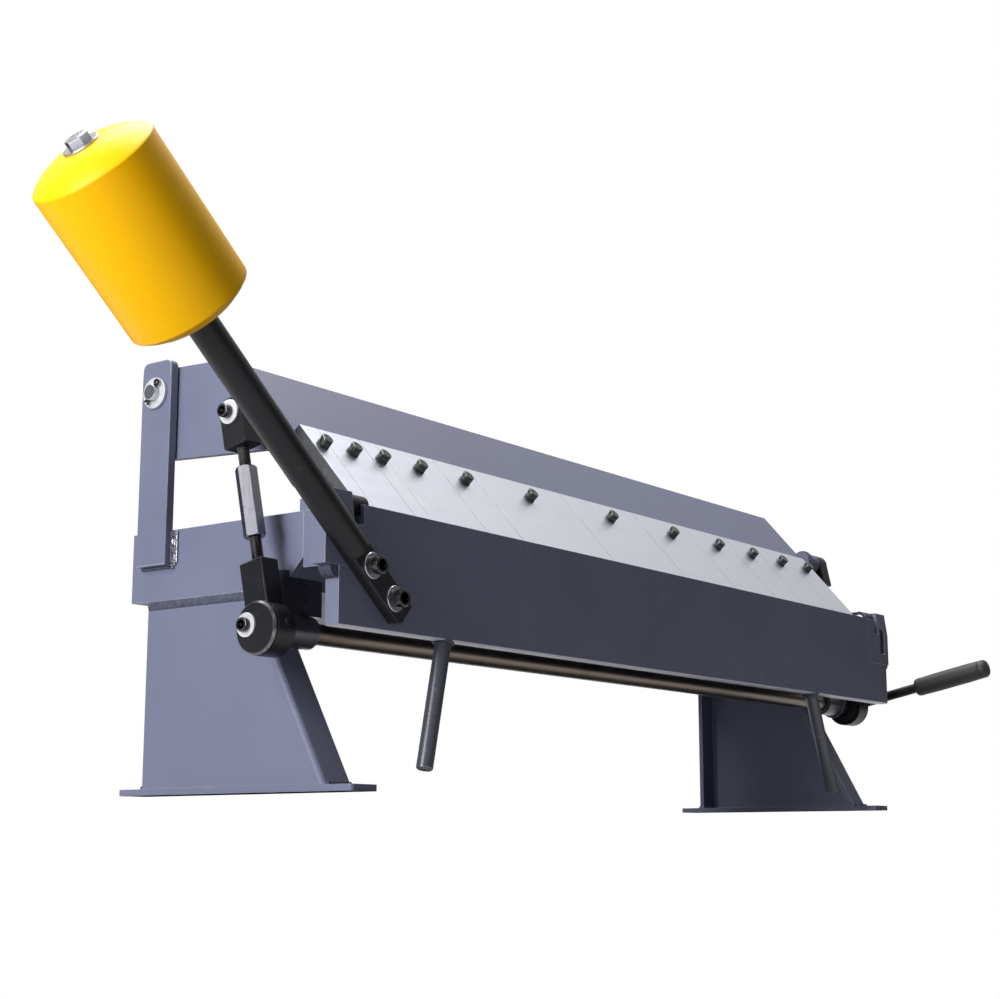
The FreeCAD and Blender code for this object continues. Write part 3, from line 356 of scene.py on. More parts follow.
# %% Finish helper
def finish_paint(name, colour, deep, rough, relief, worn_colour, worn_amount, specular=0.5, metallic=0.0,
                 relief_scale=SKIN_SCALE, worn_scale=WORN_SCALE, grain="skin"):
    material = bpy.data.materials.new(name)
    material.use_nodes = True
    tree = material.node_tree
    shader = tree.nodes["Principled BSDF"]
    shader.inputs["Metallic"].default_value = metallic
    shader.inputs["Specular IOR Level"].default_value = specular
    surface = tree.nodes.new("ShaderNodeGroup")
    if grain == "skin":
        surface.node_tree = skin_group
        surface.inputs["Scale"].default_value = relief_scale
        shade = surface.outputs["Mottle"]
    else:
        surface.node_tree = upright_group if grain == "upright" else lines_group
        shade = surface.outputs["Streak"]
    worn = tree.nodes.new("ShaderNodeGroup")
    worn.node_tree = worn_group
    worn.inputs["Amount"].default_value = worn_amount
    worn.inputs["Scale"].default_value = worn_scale
    base = tree.nodes.new("ShaderNodeMix")
    base.data_type = "RGBA"
    base.inputs["A"].default_value = (*deep, 1.0)
    base.inputs["B"].default_value = (*colour, 1.0)
    tree.links.new(shade, base.inputs["Factor"])
    rubbed = tree.nodes.new("ShaderNodeMix")
    rubbed.data_type = "RGBA"
    rubbed.inputs["B"].default_value = (*worn_colour, 1.0)
    tree.links.new(base.outputs["Result"], rubbed.inputs["A"])
    tree.links.new(worn.outputs["Mask"], rubbed.inputs["Factor"])
    tree.links.new(rubbed.outputs["Result"], shader.inputs["Base Color"])
    roughness, spread = rough
    rough_range = tree.nodes.new("ShaderNodeMapRange")
    rough_range.inputs["To Min"].default_value = roughness - spread
    rough_range.inputs["To Max"].default_value = roughness + spread
    tree.links.new(shade, rough_range.inputs["Value"])
    tree.links.new(rough_range.outputs["Result"], shader.inputs["Roughness"])
    bump = tree.nodes.new("ShaderNodeBump")
    bump.inputs["Strength"].default_value = 1.0
    bump.inputs["Distance"].default_value = relief
    tree.links.new(surface.outputs["Height"], bump.inputs["Height"])
    tree.links.new(bump.outputs["Normal"], shader.inputs["Normal"])
    return material


# %% Make the finishes
FINISHES = {
    "frame_paint": dict(
        colour=(0.142, 0.152, 0.226), deep=(0.122, 0.131, 0.198), rough=(0.50, 0.06), specular=0.28,
        relief=0.00012, relief_scale=420.0, worn_colour=(0.19, 0.20, 0.27), worn_amount=0.35),
    # Lighter edge paint: partly paint worn thin, partly a painted highlight along the edge.
    "paint_edge_wear_painted_highlight": dict(
        colour=(0.24, 0.25, 0.33), deep=(0.18, 0.19, 0.26), rough=(0.34, 0.06), specular=0.6, relief=0.00008,
        relief_scale=420.0, worn_colour=(0.34, 0.35, 0.40), worn_amount=0.7, worn_scale=60.0),
    "weld_paint": dict(
        colour=(0.086, 0.092, 0.142), deep=(0.070, 0.075, 0.118), rough=(0.50, 0.08), specular=0.25,
        relief=0.00060, relief_scale=240.0, worn_colour=(0.008, 0.009, 0.018), worn_amount=1.35,
        worn_scale=170.0),
    "weld_metal": dict(
        colour=(0.62, 0.63, 0.66), deep=(0.10, 0.10, 0.13), rough=(0.30, 0.08), metallic=0.8, relief=0.00080,
        relief_scale=420.0, worn_colour=(0.05, 0.05, 0.07), worn_amount=0.8, worn_scale=160.0),
    "dark_steel": dict(
        colour=(0.011, 0.0112, 0.0140), deep=(0.006, 0.0062, 0.008), rough=(0.38, 0.08), specular=0.22,
        relief=0.00006, relief_scale=600.0, worn_colour=(0.028, 0.025, 0.026), worn_amount=0.5,
        worn_scale=60.0),
    # Darker glossy paint of the handles; on the shaft bearings it stands as painted shade.
    "handle_paint_bearing_painted_shade": dict(
        colour=(0.065, 0.069, 0.092), deep=(0.040, 0.043, 0.058), rough=(0.28, 0.07), relief=0.00008,
        relief_scale=300.0, worn_colour=(0.12, 0.125, 0.15), worn_amount=0.5, worn_scale=60.0),
    # Lighter edge of black steel: partly oxide worn off, partly a painted highlight along the edge.
    "dark_edge_wear_painted_highlight": dict(
        colour=(0.230, 0.230, 0.245), deep=(0.110, 0.110, 0.118), rough=(0.28, 0.06), metallic=0.5,
        relief=0.00003, relief_scale=600.0, worn_colour=(0.28, 0.28, 0.30), worn_amount=0.8,
        worn_scale=90.0),
    "oiled_black": dict(
        colour=(0.010, 0.010, 0.012), deep=(0.005, 0.005, 0.006), rough=(0.20, 0.05), specular=0.65,
        relief=0.00003, relief_scale=800.0, worn_colour=(0.020, 0.020, 0.022), worn_amount=0.4,
        worn_scale=90.0),
    # Lighter steel for the eccentric rims: partly polish, partly a painted highlight.
    "rim_polish_painted_highlight": dict(
        colour=(0.16, 0.165, 0.185), deep=(0.07, 0.072, 0.080), rough=(0.24, 0.06), metallic=0.85,
        relief=0.00003, relief_scale=600.0, worn_colour=(0.30, 0.30, 0.32), worn_amount=0.6,
        worn_scale=60.0),
    "ground_steel": dict(
        colour=(0.60, 0.62, 0.67), deep=(0.50, 0.52, 0.57), rough=(0.40, 0.06), metallic=1.0, relief=0.00002,
        grain="lines", worn_colour=(0.48, 0.49, 0.53), worn_amount=0.45, worn_scale=12.0),
    "sawn_steel": dict(
        colour=(0.070, 0.071, 0.080), deep=(0.034, 0.035, 0.040), rough=(0.55, 0.08), specular=0.35,
        metallic=0.2, relief=0.00010, relief_scale=700.0, worn_colour=(0.13, 0.13, 0.145), worn_amount=0.6,
        worn_scale=90.0),
    "bright_steel": dict(
        colour=(0.52, 0.53, 0.56), deep=(0.32, 0.33, 0.36), rough=(0.24, 0.08), metallic=1.0, relief=0.00004,
        relief_scale=900.0, worn_colour=(0.30, 0.30, 0.32), worn_amount=0.6, worn_scale=60.0),
    "plated_nut": dict(
        colour=(0.225, 0.225, 0.252), deep=(0.10, 0.10, 0.12), rough=(0.22, 0.03), metallic=1.0,
        relief=0.00001, grain="upright", worn_colour=(0.12, 0.12, 0.14), worn_amount=0.7, worn_scale=140.0),
    "zinc_washer": dict(
        colour=(0.74, 0.75, 0.79), deep=(0.52, 0.53, 0.57), rough=(0.32, 0.08), metallic=0.35,
        relief=0.00003, relief_scale=900.0, worn_colour=(0.30, 0.30, 0.33), worn_amount=0.5,
        worn_scale=120.0),
    "bare_steel": dict(
        colour=(0.20, 0.165, 0.135), deep=(0.10, 0.080, 0.065), rough=(0.34, 0.08), metallic=1.0,
        relief=0.00003, grain="lines", worn_colour=(0.06, 0.048, 0.040), worn_amount=0.6, worn_scale=25.0),
    "yellow_paint": dict(
        colour=(0.93, 0.485, 0.0008), deep=(0.90, 0.462, 0.0006), rough=(0.40, 0.05), specular=0.16,
        relief=0.00005, relief_scale=300.0, worn_colour=(0.97, 0.56, 0.002), worn_amount=0.3),
    "black_grip": dict(
        colour=(0.015, 0.015, 0.016), deep=(0.009, 0.009, 0.010), rough=(0.55, 0.06), specular=0.4,
        relief=0.00010, relief_scale=900.0, worn_colour=(0.03, 0.03, 0.03), worn_amount=0.3,
        worn_scale=50.0),
    # Bare cut metal, with the floor's bright reflection on it painted in as a near-white colour.
    "cut_edge_painted_reflection": dict(
        colour=(0.86, 0.86, 0.92), deep=(0.70, 0.70, 0.78), rough=(0.45, 0.08), metallic=0.2, relief=0.00003,
        relief_scale=500.0, worn_colour=(0.50, 0.50, 0.58), worn_amount=0.4, worn_scale=60.0),
}
finishes = {name: finish_paint(name, **values) for name, values in FINISHES.items()}
print("finishes", sorted(finishes))

# %% [markdown]
# ## Rounded edges
# No edge of a machined or painted plate is perfectly sharp, and the thin bright line where light catches it is
# what makes a render read as metal. Each CAD solid is copied, its loose triangles are merged into flat faces
# again, and a Bevel modifier rounds every sharp edge. The copy then stands for the CAD node. On painted and
# black pieces the rounded strip gets a lighter, glossier finish of its own: partly paint and oxide worn thin on
# an edge, partly a painted highlight along it.


# %% Rounding helpers
MERGE_WITHIN = 0.000002
FLAT_WITHIN = math.radians(0.5)
SHARP_FROM = math.radians(35.0)
EDGE_SEGMENTS = 3
PLATE_SMOOTH = 32.0


def joined_copy(node):
    bm = bmesh.new()
    bm.from_mesh(nodes[node].data)
    bmesh.ops.remove_doubles(bm, verts=bm.verts, dist=MERGE_WITHIN)
    bmesh.ops.dissolve_limit(bm, angle_limit=FLAT_WITHIN, verts=bm.verts, edges=bm.edges)
    return bm


def place_piece(bm, name, body, slot_name, finish=None, smooth_angle=PLATE_SMOOTH):
    for face in bm.faces:
        face.smooth = True
    for edge in bm.edges:
        edge.smooth = len(edge.link_faces) == 2 and edge.calc_face_angle(0.0) < math.radians(smooth_angle)
    mesh = bpy.data.meshes.new(name)
    bm.to_mesh(mesh)
    bm.free()
    mesh.materials.append(finishes[finish or slot_name])
    piece = bpy.data.objects.new(name, mesh)
    bpy.context.scene.collection.objects.link(piece)
    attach(piece, body)
    return piece


def round_edges(piece, width, edge_slot):
    bevel = piece.modifiers.new("edge", "BEVEL")
    bevel.width = width
    bevel.segments = EDGE_SEGMENTS
    bevel.material = edge_slot
    bevel.limit_method = "ANGLE"
    bevel.angle_limit = SHARP_FROM
    bevel.harden_normals = True


SAME_AS_FACES = -1
# The rounded strip takes a lighter finish: partly wear, partly a painted highlight.
EDGE_FINISHES = {"frame_paint": "paint_edge_wear_painted_highlight", "dark_steel": "dark_edge_wear_painted_highlight"}
OWN_FINISH = {
    "handle_left": "handle_paint_bearing_painted_shade", "handle_right": "handle_paint_bearing_painted_shade", "pivot_washers": "zinc_washer",
    "turnbuckle_left": "plated_nut", "turnbuckle_right": "plated_nut",
    # The shaft bearings are frame-painted, but take the darker handle paint as painted shade.
    "shaft_bearing_left": "handle_paint_bearing_painted_shade", "shaft_bearing_right": "handle_paint_bearing_painted_shade",
}


def rounded(node, width, second=None, where=None):
    bm = joined_copy(node)
    if second:
        for face in bm.faces:
            face.material_index = int(where(face))
    piece = place_piece(bm, node + "_rounded", bodies[node], slots[node], OWN_FINISH.get(node))
    if second:
        piece.data.materials.append(finishes[second])
    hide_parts(node)
    edge_slot = SAME_AS_FACES
    if slots[node] in EDGE_FINISHES:
        piece.data.materials.append(finishes[EDGE_FINISHES[slots[node]]])
        edge_slot = len(piece.data.materials) - 1
    round_edges(piece, width, edge_slot)


# %% Round the plates, the bars and the links
# The widths are in metres. A name that ends in an underscore stands for the left and the right piece.
EDGE_WIDTHS = {
    "leg_": 0.0008, "foot_plate_": 0.0008, "bed_end_plate_": 0.0006, "bed_top_plate": 0.0006,
    "bed_back_plate": 0.0006, "bed_lower_plate": 0.0006, "anvil_bar": 0.0008, "apron_hinge_": 0.0008,
    "upright_": 0.0012, "shaft_bearing_": 0.0006, "beam_face_plate": 0.0010, "beam_shell": 0.0008,
    "beam_end_plate_": 0.0008, "link_lower_": 0.0009, "link_upper_": 0.0009, "turnbuckle_": 0.0007,
    "counterweight_arm": 0.0006, "handle_": 0.0006, "clamp_shaft": 0.0004, "clamp_lever": 0.0005,
    "hinge_pins": 0.0003, "pivot_pins": 0.0004, "pivot_washers": 0.0004,
}
round_count = 0
for name, width in EDGE_WIDTHS.items():
    for node in (name + "left", name + "right") if name.endswith("_") else (name,):
        rounded(node, width)
        round_count += 1
print("rounded", round_count, "nodes")

# %% [markdown]
# ## Two finishes on one piece
# Some pieces are machined only where they work. A finger is ground on its outer face, and its sides keep the
# grey of sawn steel. The apron's lower edge was cut after painting and shows bare metal, and the bright
# reflection of the floor on it is painted into a near-white colour. The chamfered rims of an eccentric are a
# lighter steel, partly polish and partly a painted highlight. The fixed knuckles at the ends of the folding
# line are oiled dark, and the blocks that hold them are painted. The faces are picked by their direction or
# their place.

# %% Fingers, apron, fixed knuckles and eccentrics
FINGER_NUMBERS = range(1, 13)
KNUCKLE_OUT_X = 0.5365
KNUCKLE_BACK_Y = -0.1205
SIDEWAYS_FROM = 0.3
DOWNWARD_FROM = 0.5
CHAMFER_FROM, CHAMFER_TO = 0.4, 0.95
FINGER_EDGE, APRON_EDGE, KNUCKLE_EDGE, ECCENTRIC_EDGE = 0.00015, 0.0008, 0.0005, 0.0003


def on_side(face):
    return abs(face.normal.x) > SIDEWAYS_FROM


def on_underside(face):
    return face.normal.z < -DOWNWARD_FROM


def on_knuckle(face):
    middle = face.calc_center_median()
    return abs(middle.x) < KNUCKLE_OUT_X and middle.y < KNUCKLE_BACK_Y


def on_chamfer(face):
    return CHAMFER_FROM < abs(face.normal.x) < CHAMFER_TO


for number in FINGER_NUMBERS:
    rounded("finger_%02d" % number, FINGER_EDGE, "sawn_steel", on_side)
# The apron's underside takes the cut edge finish: bare metal with a painted reflection of the floor.
rounded("apron_plate", APRON_EDGE, "cut_edge_painted_reflection", on_underside)
# Each eccentric's chamfered rim gets lighter steel, partly polish and partly a painted highlight.
for side in ("left", "right"):
    rounded("frame_hinge_" + side, KNUCKLE_EDGE, "dark_steel", on_knuckle)
    rounded("eccentric_" + side, ECCENTRIC_EDGE, "rim_polish_painted_highlight", on_chamfer)
print("two finishes on", len(FINGER_NUMBERS) + 5, "nodes")

# %% [markdown]
# ## Places on the machine
# The CAD source measures in millimetres from the back of the legs, so the same numbers are used here. One
# helper turns them into a point in metres, and another puts a small piece, made upright at the origin in
# millimetres, on a seat with its axis pointing out of it. A third spins an outline of radii and heights into a
# turned piece. The named centres are pairs of depth and height, seen from the machine's end.


# %% Placing helpers
FOOT_HOLES_MID = 119.0
BEAM_PIVOT = (14.0, 391.0)
BEAM_LUG = (154.0, 345.0)
BEAM_TOP_FRONT = (96.0, 415.0)
SHAFT_CENTRE = (188.0, 145.0)
STRAP_CENTRE = (197.6, 142.0)
SMALL_MERGE = 0.001
FRONT = Vector((0.0, -1.0, 0.0))
RIGHT = Vector((1.0, 0.0, 0.0))


def at(x, depth, z):
    return Vector((x, FOOT_HOLES_MID - depth, z)) / 1000.0


def add_part(whole, part, seat, out):
    turn = Vector(out).to_track_quat("Z", "Y").to_matrix().to_4x4()
    bmesh.ops.transform(part, matrix=Matrix.Translation(seat) @ turn @ Matrix.Scale(0.001, 4), verts=part.verts)
    mesh = bpy.data.meshes.new("part")
    part.to_mesh(mesh)
    part.free()
    whole.from_mesh(mesh)
    bpy.data.meshes.remove(mesh)


def turned(profile, steps, sweep=math.tau):
    bm = bmesh.new()
    corners = [bm.verts.new((radius, 0.0, height)) for radius, height in profile]
    for first, second in zip(corners, corners[1:]):
        bm.edges.new((first, second))
    bmesh.ops.spin(bm, geom=bm.verts[:] + bm.edges[:], cent=(0, 0, 0), axis=(0, 0, 1), dvec=(0, 0, 0),
                   angle=sweep, steps=steps, use_merge=sweep == math.tau, use_duplicate=False)
    bmesh.ops.remove_doubles(bm, verts=bm.verts, dist=SMALL_MERGE)
    bmesh.ops.recalc_face_normals(bm, faces=bm.faces)
    return bm


# %% [markdown]
# ## Socket screws and washers
# Black socket screws hold the fingers, the links, the eccentrics and the counterweight's arm. A head is turned
# from a short profile. Every second column of its side is pushed in a little, which gives the knurl, and a
# hexagon sunk into the top gives the key's socket. A bright washer or a split spring ring lies under each head.
# A head is given by its radius, its height and the width of its key, and a ring by its outer radius, its inner
# radius and its thickness.


# %% Screw head
HEAD_STEPS = 60
HEAD_SMOOTH = 25.0
KNURL = 0.972
KNURL_MARGIN = 0.5
SOCKET_SHARE = 0.55


def verts_of(items):
    return [item for item in items if isinstance(item, bmesh.types.BMVert)]


def edges_among(edges, verts):
    return [edge for edge in edges if edge.verts[0] in verts and edge.verts[1] in verts]


def socket_head(radius, height, flats):
    mouth = flats / math.sqrt(3.0)
    bm = turned([(mouth + 0.4, height), (radius - 0.9, height), (radius - 0.25, height - 0.3),
                 (radius, height - 0.9), (radius, 0.6), (radius - 0.5, 0.0), (0.0, 0.0)], HEAD_STEPS)
    for vert in bm.verts:
        column = round(math.atan2(vert.co.y, vert.co.x) * HEAD_STEPS / math.tau)
        if column % 2 and KNURL_MARGIN < vert.co.z < height - KNURL_MARGIN:
            vert.co.xy *= KNURL
    rim = [edge for edge in bm.edges if edge.is_boundary]
    top = Matrix.Translation((0, 0, height))
    corners = bmesh.ops.create_circle(bm, segments=6, radius=mouth, matrix=top)["verts"]
    sides = list({edge for vert in corners for edge in vert.link_edges})
    split = bmesh.ops.subdivide_edges(bm, edges=sides, cuts=HEAD_STEPS // 6 - 1)["geom_inner"]
    sides = edges_among(bm.edges, set(corners) | set(verts_of(split)))
    bmesh.ops.bridge_loops(bm, edges=rim + sides)
    deep = bmesh.ops.extrude_edge_only(bm, edges=sides)["geom"]
    low = verts_of(deep)
    bmesh.ops.translate(bm, verts=low, vec=(0.0, 0.0, -height * SOCKET_SHARE))
    deep_edges = [item for item in deep if isinstance(item, bmesh.types.BMEdge)]
    bmesh.ops.edgeloop_fill(bm, edges=edges_among(deep_edges, low))
    bmesh.ops.recalc_face_normals(bm, faces=bm.faces)
    return bm


# %% Washers
WASHER_STEPS = 64
SPLIT_STEPS = 48
SPLIT_SWEEP = math.radians(352.0)


def plain_washer(outer, inner, thick):
    return turned([(inner, 0.0), (outer - 0.3, 0.0), (outer, 0.3), (outer, thick - 0.4), (outer - 0.4, thick),
                   (inner, thick), (inner, 0.0)], WASHER_STEPS)


def spring_ring(outer, inner, thick):
    bm = turned([(inner, 0.0), (outer - 0.3, 0.0), (outer, 0.3), (outer, thick - 0.3), (outer - 0.3, thick),
                 (inner, thick), (inner, 0.0)], SPLIT_STEPS, SPLIT_SWEEP)
    bmesh.ops.holes_fill(bm, edges=[edge for edge in bm.edges if edge.is_boundary], sides=0)
    bmesh.ops.recalc_face_normals(bm, faces=bm.faces)
    return bm


# %% Where the screws sit
FACE_ANGLE = math.radians(48.9)
FINGER_OUT = Vector((0.0, -math.sin(FACE_ANGLE), math.cos(FACE_ANGLE)))
SCREW_DOWN = 128.4
FINGER_LIFT = 10.0
ARM_ANGLE = math.radians(40.0)
ARM_WAY = Vector((-math.cos(ARM_ANGLE), 0.0, math.sin(ARM_ANGLE)))
ARM_X = -527.3
ARM_Z = 197.7
ARM_DEPTH = 272.0
ARM_FLAT_DEPTH = 278.0
ARM_SCREW_PITCH = 0.041
LINK_SEAT_X = 586.4
SHAFT_SEAT_RIGHT, SHAFT_SEAT_LEFT = 611.5, -591.0

top_depth, top_z = BEAM_TOP_FRONT
seat_depth = top_depth + SCREW_DOWN * math.cos(FACE_ANGLE) + FINGER_LIFT * math.sin(FACE_ANGLE)
seat_z = top_z - SCREW_DOWN * math.sin(FACE_ANGLE) + FINGER_LIFT * math.cos(FACE_ANGLE)
finger_seats = []
for number in FINGER_NUMBERS:
    low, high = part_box("finger_%02d" % number)
    finger_seats.append(at((low[0] + high[0]) * 500.0, seat_depth, seat_z))
link_seats = [(at(LINK_SEAT_X, *BEAM_LUG), RIGHT), (at(-LINK_SEAT_X, *BEAM_LUG), -RIGHT)]
shaft_seats = [(at(SHAFT_SEAT_RIGHT, *SHAFT_CENTRE), RIGHT), (at(SHAFT_SEAT_LEFT, *SHAFT_CENTRE), -RIGHT)]
arm_root = at(ARM_X, ARM_FLAT_DEPTH, ARM_Z)
arm_seats = [(arm_root, FRONT), (arm_root - ARM_WAY * ARM_SCREW_PITCH, FRONT)]
print("finger screws", len(finger_seats), "first at", tuple(round(v, 4) for v in finger_seats[0]))

# %% Finger screws
FINGER_HEAD = (6.5, 8.0, 6.0)
FINGER_RING = (6.9, 4.2, 2.0)

finger_screws = bmesh.new()
for seat in finger_seats:
    add_part(finger_screws, spring_ring(*FINGER_RING), seat, FINGER_OUT)
    add_part(finger_screws, socket_head(*FINGER_HEAD), seat + FINGER_OUT * FINGER_RING[2] / 1000.0, FINGER_OUT)
piece = place_piece(finger_screws, "finger_screw_heads", "beam", "dark_steel", "oiled_black", HEAD_SMOOTH)
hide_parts("finger_screws")
print("finger screws", len(piece.data.polygons), "faces")

# %% Screws with bright washers
LINK_HEAD, LINK_WASHER = (6.5, 8.0, 6.0), (11.5, 4.2, 2.5)
SHAFT_HEAD, SHAFT_WASHER = (6.5, 5.5, 6.0), (11.0, 4.2, 2.5)
ARM_HEAD, ARM_WASHER = (8.5, 10.0, 8.0), (12.0, 5.2, 2.5)


def washered_screws(node, seats, head, ring, ring_finish="zinc_washer"):
    heads = bmesh.new()
    rings = bmesh.new()
    for seat, out in seats:
        add_part(rings, plain_washer(*ring), seat, out)
        add_part(heads, socket_head(*head), seat + out * ring[2] / 1000.0, out)
    screws = place_piece(heads, node + "_heads", bodies[node], "dark_steel", "oiled_black", HEAD_SMOOTH)
    washers = place_piece(rings, node + "_washers", bodies[node], "bright_steel", ring_finish, HEAD_SMOOTH)
    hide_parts(node)
    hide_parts(node)
    print(node, len(screws.data.polygons) + len(washers.data.polygons), "faces")


washered_screws("link_bolts", link_seats, LINK_HEAD, LINK_WASHER)
washered_screws("shaft_end_bolts", shaft_seats, SHAFT_HEAD, SHAFT_WASHER)
washered_screws("arm_screws", arm_seats, ARM_HEAD, ARM_WASHER, "bright_steel")

# %% [markdown]
# ## Counterweight
# The weight is a turned steel cylinder with a shallow dome at each end, painted yellow, and a bolt with a wide
# washer holds it on its arm. Its profile is spun round the arm's axis, and the operator bevel then rounds the
# rim of each dome a little, so that the paint shows a thin highlight there.

# %% Counterweight
WEIGHT_R = 55.0
WEIGHT_L = 139.0
WEIGHT_CENTRE = 362.5
WEIGHT_DOME = ((49.0, 4.4), (40.0, 9.2), (30.0, 12.6), (20.0, 14.5), (0.0, 14.5))
WEIGHT_ROUND = 1.2
WEIGHT_STEPS = 128
WEIGHT_SMOOTH = 30.0
SAME_PLACE = 0.01

half = WEIGHT_L / 2.0
weight_mid = at(ARM_X, ARM_DEPTH, ARM_Z) + ARM_WAY * WEIGHT_CENTRE / 1000.0
dome = [(WEIGHT_R, half)] + [(radius, half + rise) for radius, rise in WEIGHT_DOME]
weight = turned([(radius, -height) for radius, height in reversed(dome)] + dome, WEIGHT_STEPS)
rims = [edge for edge in weight.edges
        if all(abs(vert.co.xy.length - WEIGHT_R) < SAME_PLACE for vert in edge.verts)
        and abs(edge.verts[0].co.z - edge.verts[1].co.z) < SAME_PLACE]
bmesh.ops.bevel(weight, geom=rims, offset=WEIGHT_ROUND, offset_type="OFFSET", affect="EDGES", segments=4,
                profile=0.5, material=-1)
whole_weight = bmesh.new()
add_part(whole_weight, weight, weight_mid, ARM_WAY)
piece = place_piece(whole_weight, "counterweight_turned", "apron", "yellow_paint", smooth_angle=WEIGHT_SMOOTH)
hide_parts("counterweight")
print("counterweight", len(piece.data.polygons), "faces")

# %% Bolt of the counterweight
WEIGHT_WASHER = (16.0, 4.0, 2.0)
BOLT_FLATS = 18.0
BOLT_HEIGHT = 6.5
BOLT_CHAMFER = 1.1


def hex_head(flats, height, chamfer):
    bm = bmesh.new()
    bmesh.ops.create_circle(bm, cap_ends=True, segments=6, radius=flats / math.sqrt(3.0))
    top = bmesh.ops.extrude_face_region(bm, geom=bm.faces[:])["geom"]
    bmesh.ops.translate(bm, verts=verts_of(top), vec=(0, 0, height))
    crown = [edge for edge in bm.edges if min(vert.co.z for vert in edge.verts) > height - SAME_PLACE]
    bmesh.ops.bevel(bm, geom=crown, offset=chamfer, offset_type="OFFSET", affect="EDGES", segments=2,
                    profile=0.5, material=-1)
    bmesh.ops.recalc_face_normals(bm, faces=bm.faces)
    return bm


bolt_seat = weight_mid + ARM_WAY * (half + WEIGHT_DOME[-1][1]) / 1000.0
head_seat = bolt_seat + ARM_WAY * WEIGHT_WASHER[2] / 1000.0
weight_bolt = bmesh.new()
add_part(weight_bolt, plain_washer(*WEIGHT_WASHER), bolt_seat, ARM_WAY)
add_part(weight_bolt, hex_head(BOLT_FLATS, BOLT_HEIGHT, BOLT_CHAMFER), head_seat, ARM_WAY)
piece = place_piece(weight_bolt, "weight_bolt_head", "apron", "bright_steel", smooth_angle=HEAD_SMOOTH)
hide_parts("weight_bolt")
print("weight bolt", len(piece.data.polygons), "faces")

# %% [markdown]
# ## Lever grip
# The clamp lever ends in a moulded black grip, a little thicker in the middle, with rounded ends and shallow
# rings near them. It is one turned profile along the lever.

# %% Lever grip
LEVER_ANGLE = math.radians(12.0)
LEVER_WAY = Vector((0.0, -math.cos(LEVER_ANGLE), math.sin(LEVER_ANGLE)))
LEVER_X = 601.5
GRIP_START = 104.0
GRIP_L = 105.0
GRIP_R = 12.5
GRIP_STEPS = 64
GRIP_SMOOTH = 40.0
GRIP_HOLE_R = 6.5
# How far each corner lies under the grip's full radius, and how far from the grip's end.
INNER_END = ((3.6, 0.0), (1.6, 0.9), (0.6, 2.8), (0.4, 6.0), (0.4, 9.0), (1.1, 9.6), (1.1, 10.6), (0.4, 11.2),
             (0.0, 30.0))
OUTER_END = ((0.0, 30.0), (0.4, 11.2), (1.1, 10.6), (1.1, 9.6), (0.4, 9.0), (0.6, 4.0), (2.4, 1.2), (5.0, 0.0))

grip_profile = [(GRIP_HOLE_R, 0.0)] + [(GRIP_R - drop, along) for drop, along in INNER_END]
grip_profile += [(GRIP_R - drop, GRIP_L - along) for drop, along in OUTER_END] + [(0.0, GRIP_L)]
grip_seat = at(LEVER_X, *SHAFT_CENTRE) + LEVER_WAY * GRIP_START / 1000.0
grip = bmesh.new()
add_part(grip, turned(grip_profile, GRIP_STEPS), grip_seat, LEVER_WAY)
piece = place_piece(grip, "lever_grip_turned", "clamp_shaft", "black_grip", smooth_angle=GRIP_SMOOTH)
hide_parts("lever_grip")
print("grip", len(piece.data.polygons), "faces")

# %% [markdown]
# ## Threads
# Each turnbuckle nut stands between two threaded rods. A thread is a small tooth that climbs as it goes round,
# so the tooth's outline is spun many turns with a step along the axis. It wraps the plain rod of the CAD link,
# and its ends run into the nut and the block.


# %% Threads on the link rods
THREAD_STEPS = 24
THREAD_PITCH = 2.0
THREAD_ROOT = 4.9
THREAD_CREST = 5.6
CREST_MARGIN = 0.1
THREAD_SMOOTH = 40.0
THREAD_SPANS = ((63.0, 88.0), (153.5, 175.0))
LINK_X = 575.0
LINK_LEAN = math.atan2(STRAP_CENTRE[0] - BEAM_LUG[0], BEAM_LUG[1] - STRAP_CENTRE[1])
LINK_WAY = Vector((0.0, math.sin(LINK_LEAN), math.cos(LINK_LEAN)))


def thread(length):
    turns = int(length / THREAD_PITCH)
    bm = bmesh.new()
    outline = ((THREAD_ROOT, 0.0), (THREAD_CREST, 0.4), (THREAD_CREST, 0.6), (THREAD_ROOT, 1.0))
    tooth = [bm.verts.new((radius, 0.0, THREAD_PITCH * share)) for radius, share in outline]
    for first, second in zip(tooth, tooth[1:]):
        bm.edges.new((first, second))
    bmesh.ops.spin(bm, geom=bm.verts[:] + bm.edges[:], cent=(0, 0, 0), axis=(0, 0, 1),
                   dvec=(0, 0, THREAD_PITCH / THREAD_STEPS), angle=math.tau * turns, steps=THREAD_STEPS * turns,
                   use_merge=False, use_duplicate=False)
    bmesh.ops.remove_doubles(bm, verts=bm.verts, dist=SMALL_MERGE)
    bmesh.ops.recalc_face_normals(bm, faces=bm.faces)
    for face in bm.faces:
        face.material_index = int(all(vert.co.xy.length > THREAD_CREST - CREST_MARGIN for vert in face.verts))
    return bm


for side, x in (("left", -LINK_X), ("right", LINK_X)):
    threads = bmesh.new()
    ring_centre = at(x, *STRAP_CENTRE)
    for start, end in THREAD_SPANS:
        add_part(threads, thread(end - start), ring_centre + LINK_WAY * start / 1000.0, LINK_WAY)
    piece = place_piece(threads, "link_threads_" + side, "link_" + side, "dark_steel", "oiled_black",
                        THREAD_SMOOTH)
    piece.data.materials.append(finishes["dark_steel"])
print("threads of", THREAD_PITCH, "mm pitch")

# %% [markdown]
# ## Beads and bent wire
# A weld bead is a rippled string of metal laid in a corner, and a cotter pin is a bent wire. Both are a small
# circle extruded step by step along a path and turned to follow it. Every second ring of a bead is a little
# smaller, and a fixed random seed makes it slightly uneven, as a hand weld is.


# %% Extrude a ring along a path
RING_SIDES = 10
BEAD_SPACING = 1.7
RIPPLE_RANGE = (0.7, 1.3)
ripple_dice = random.Random(7)


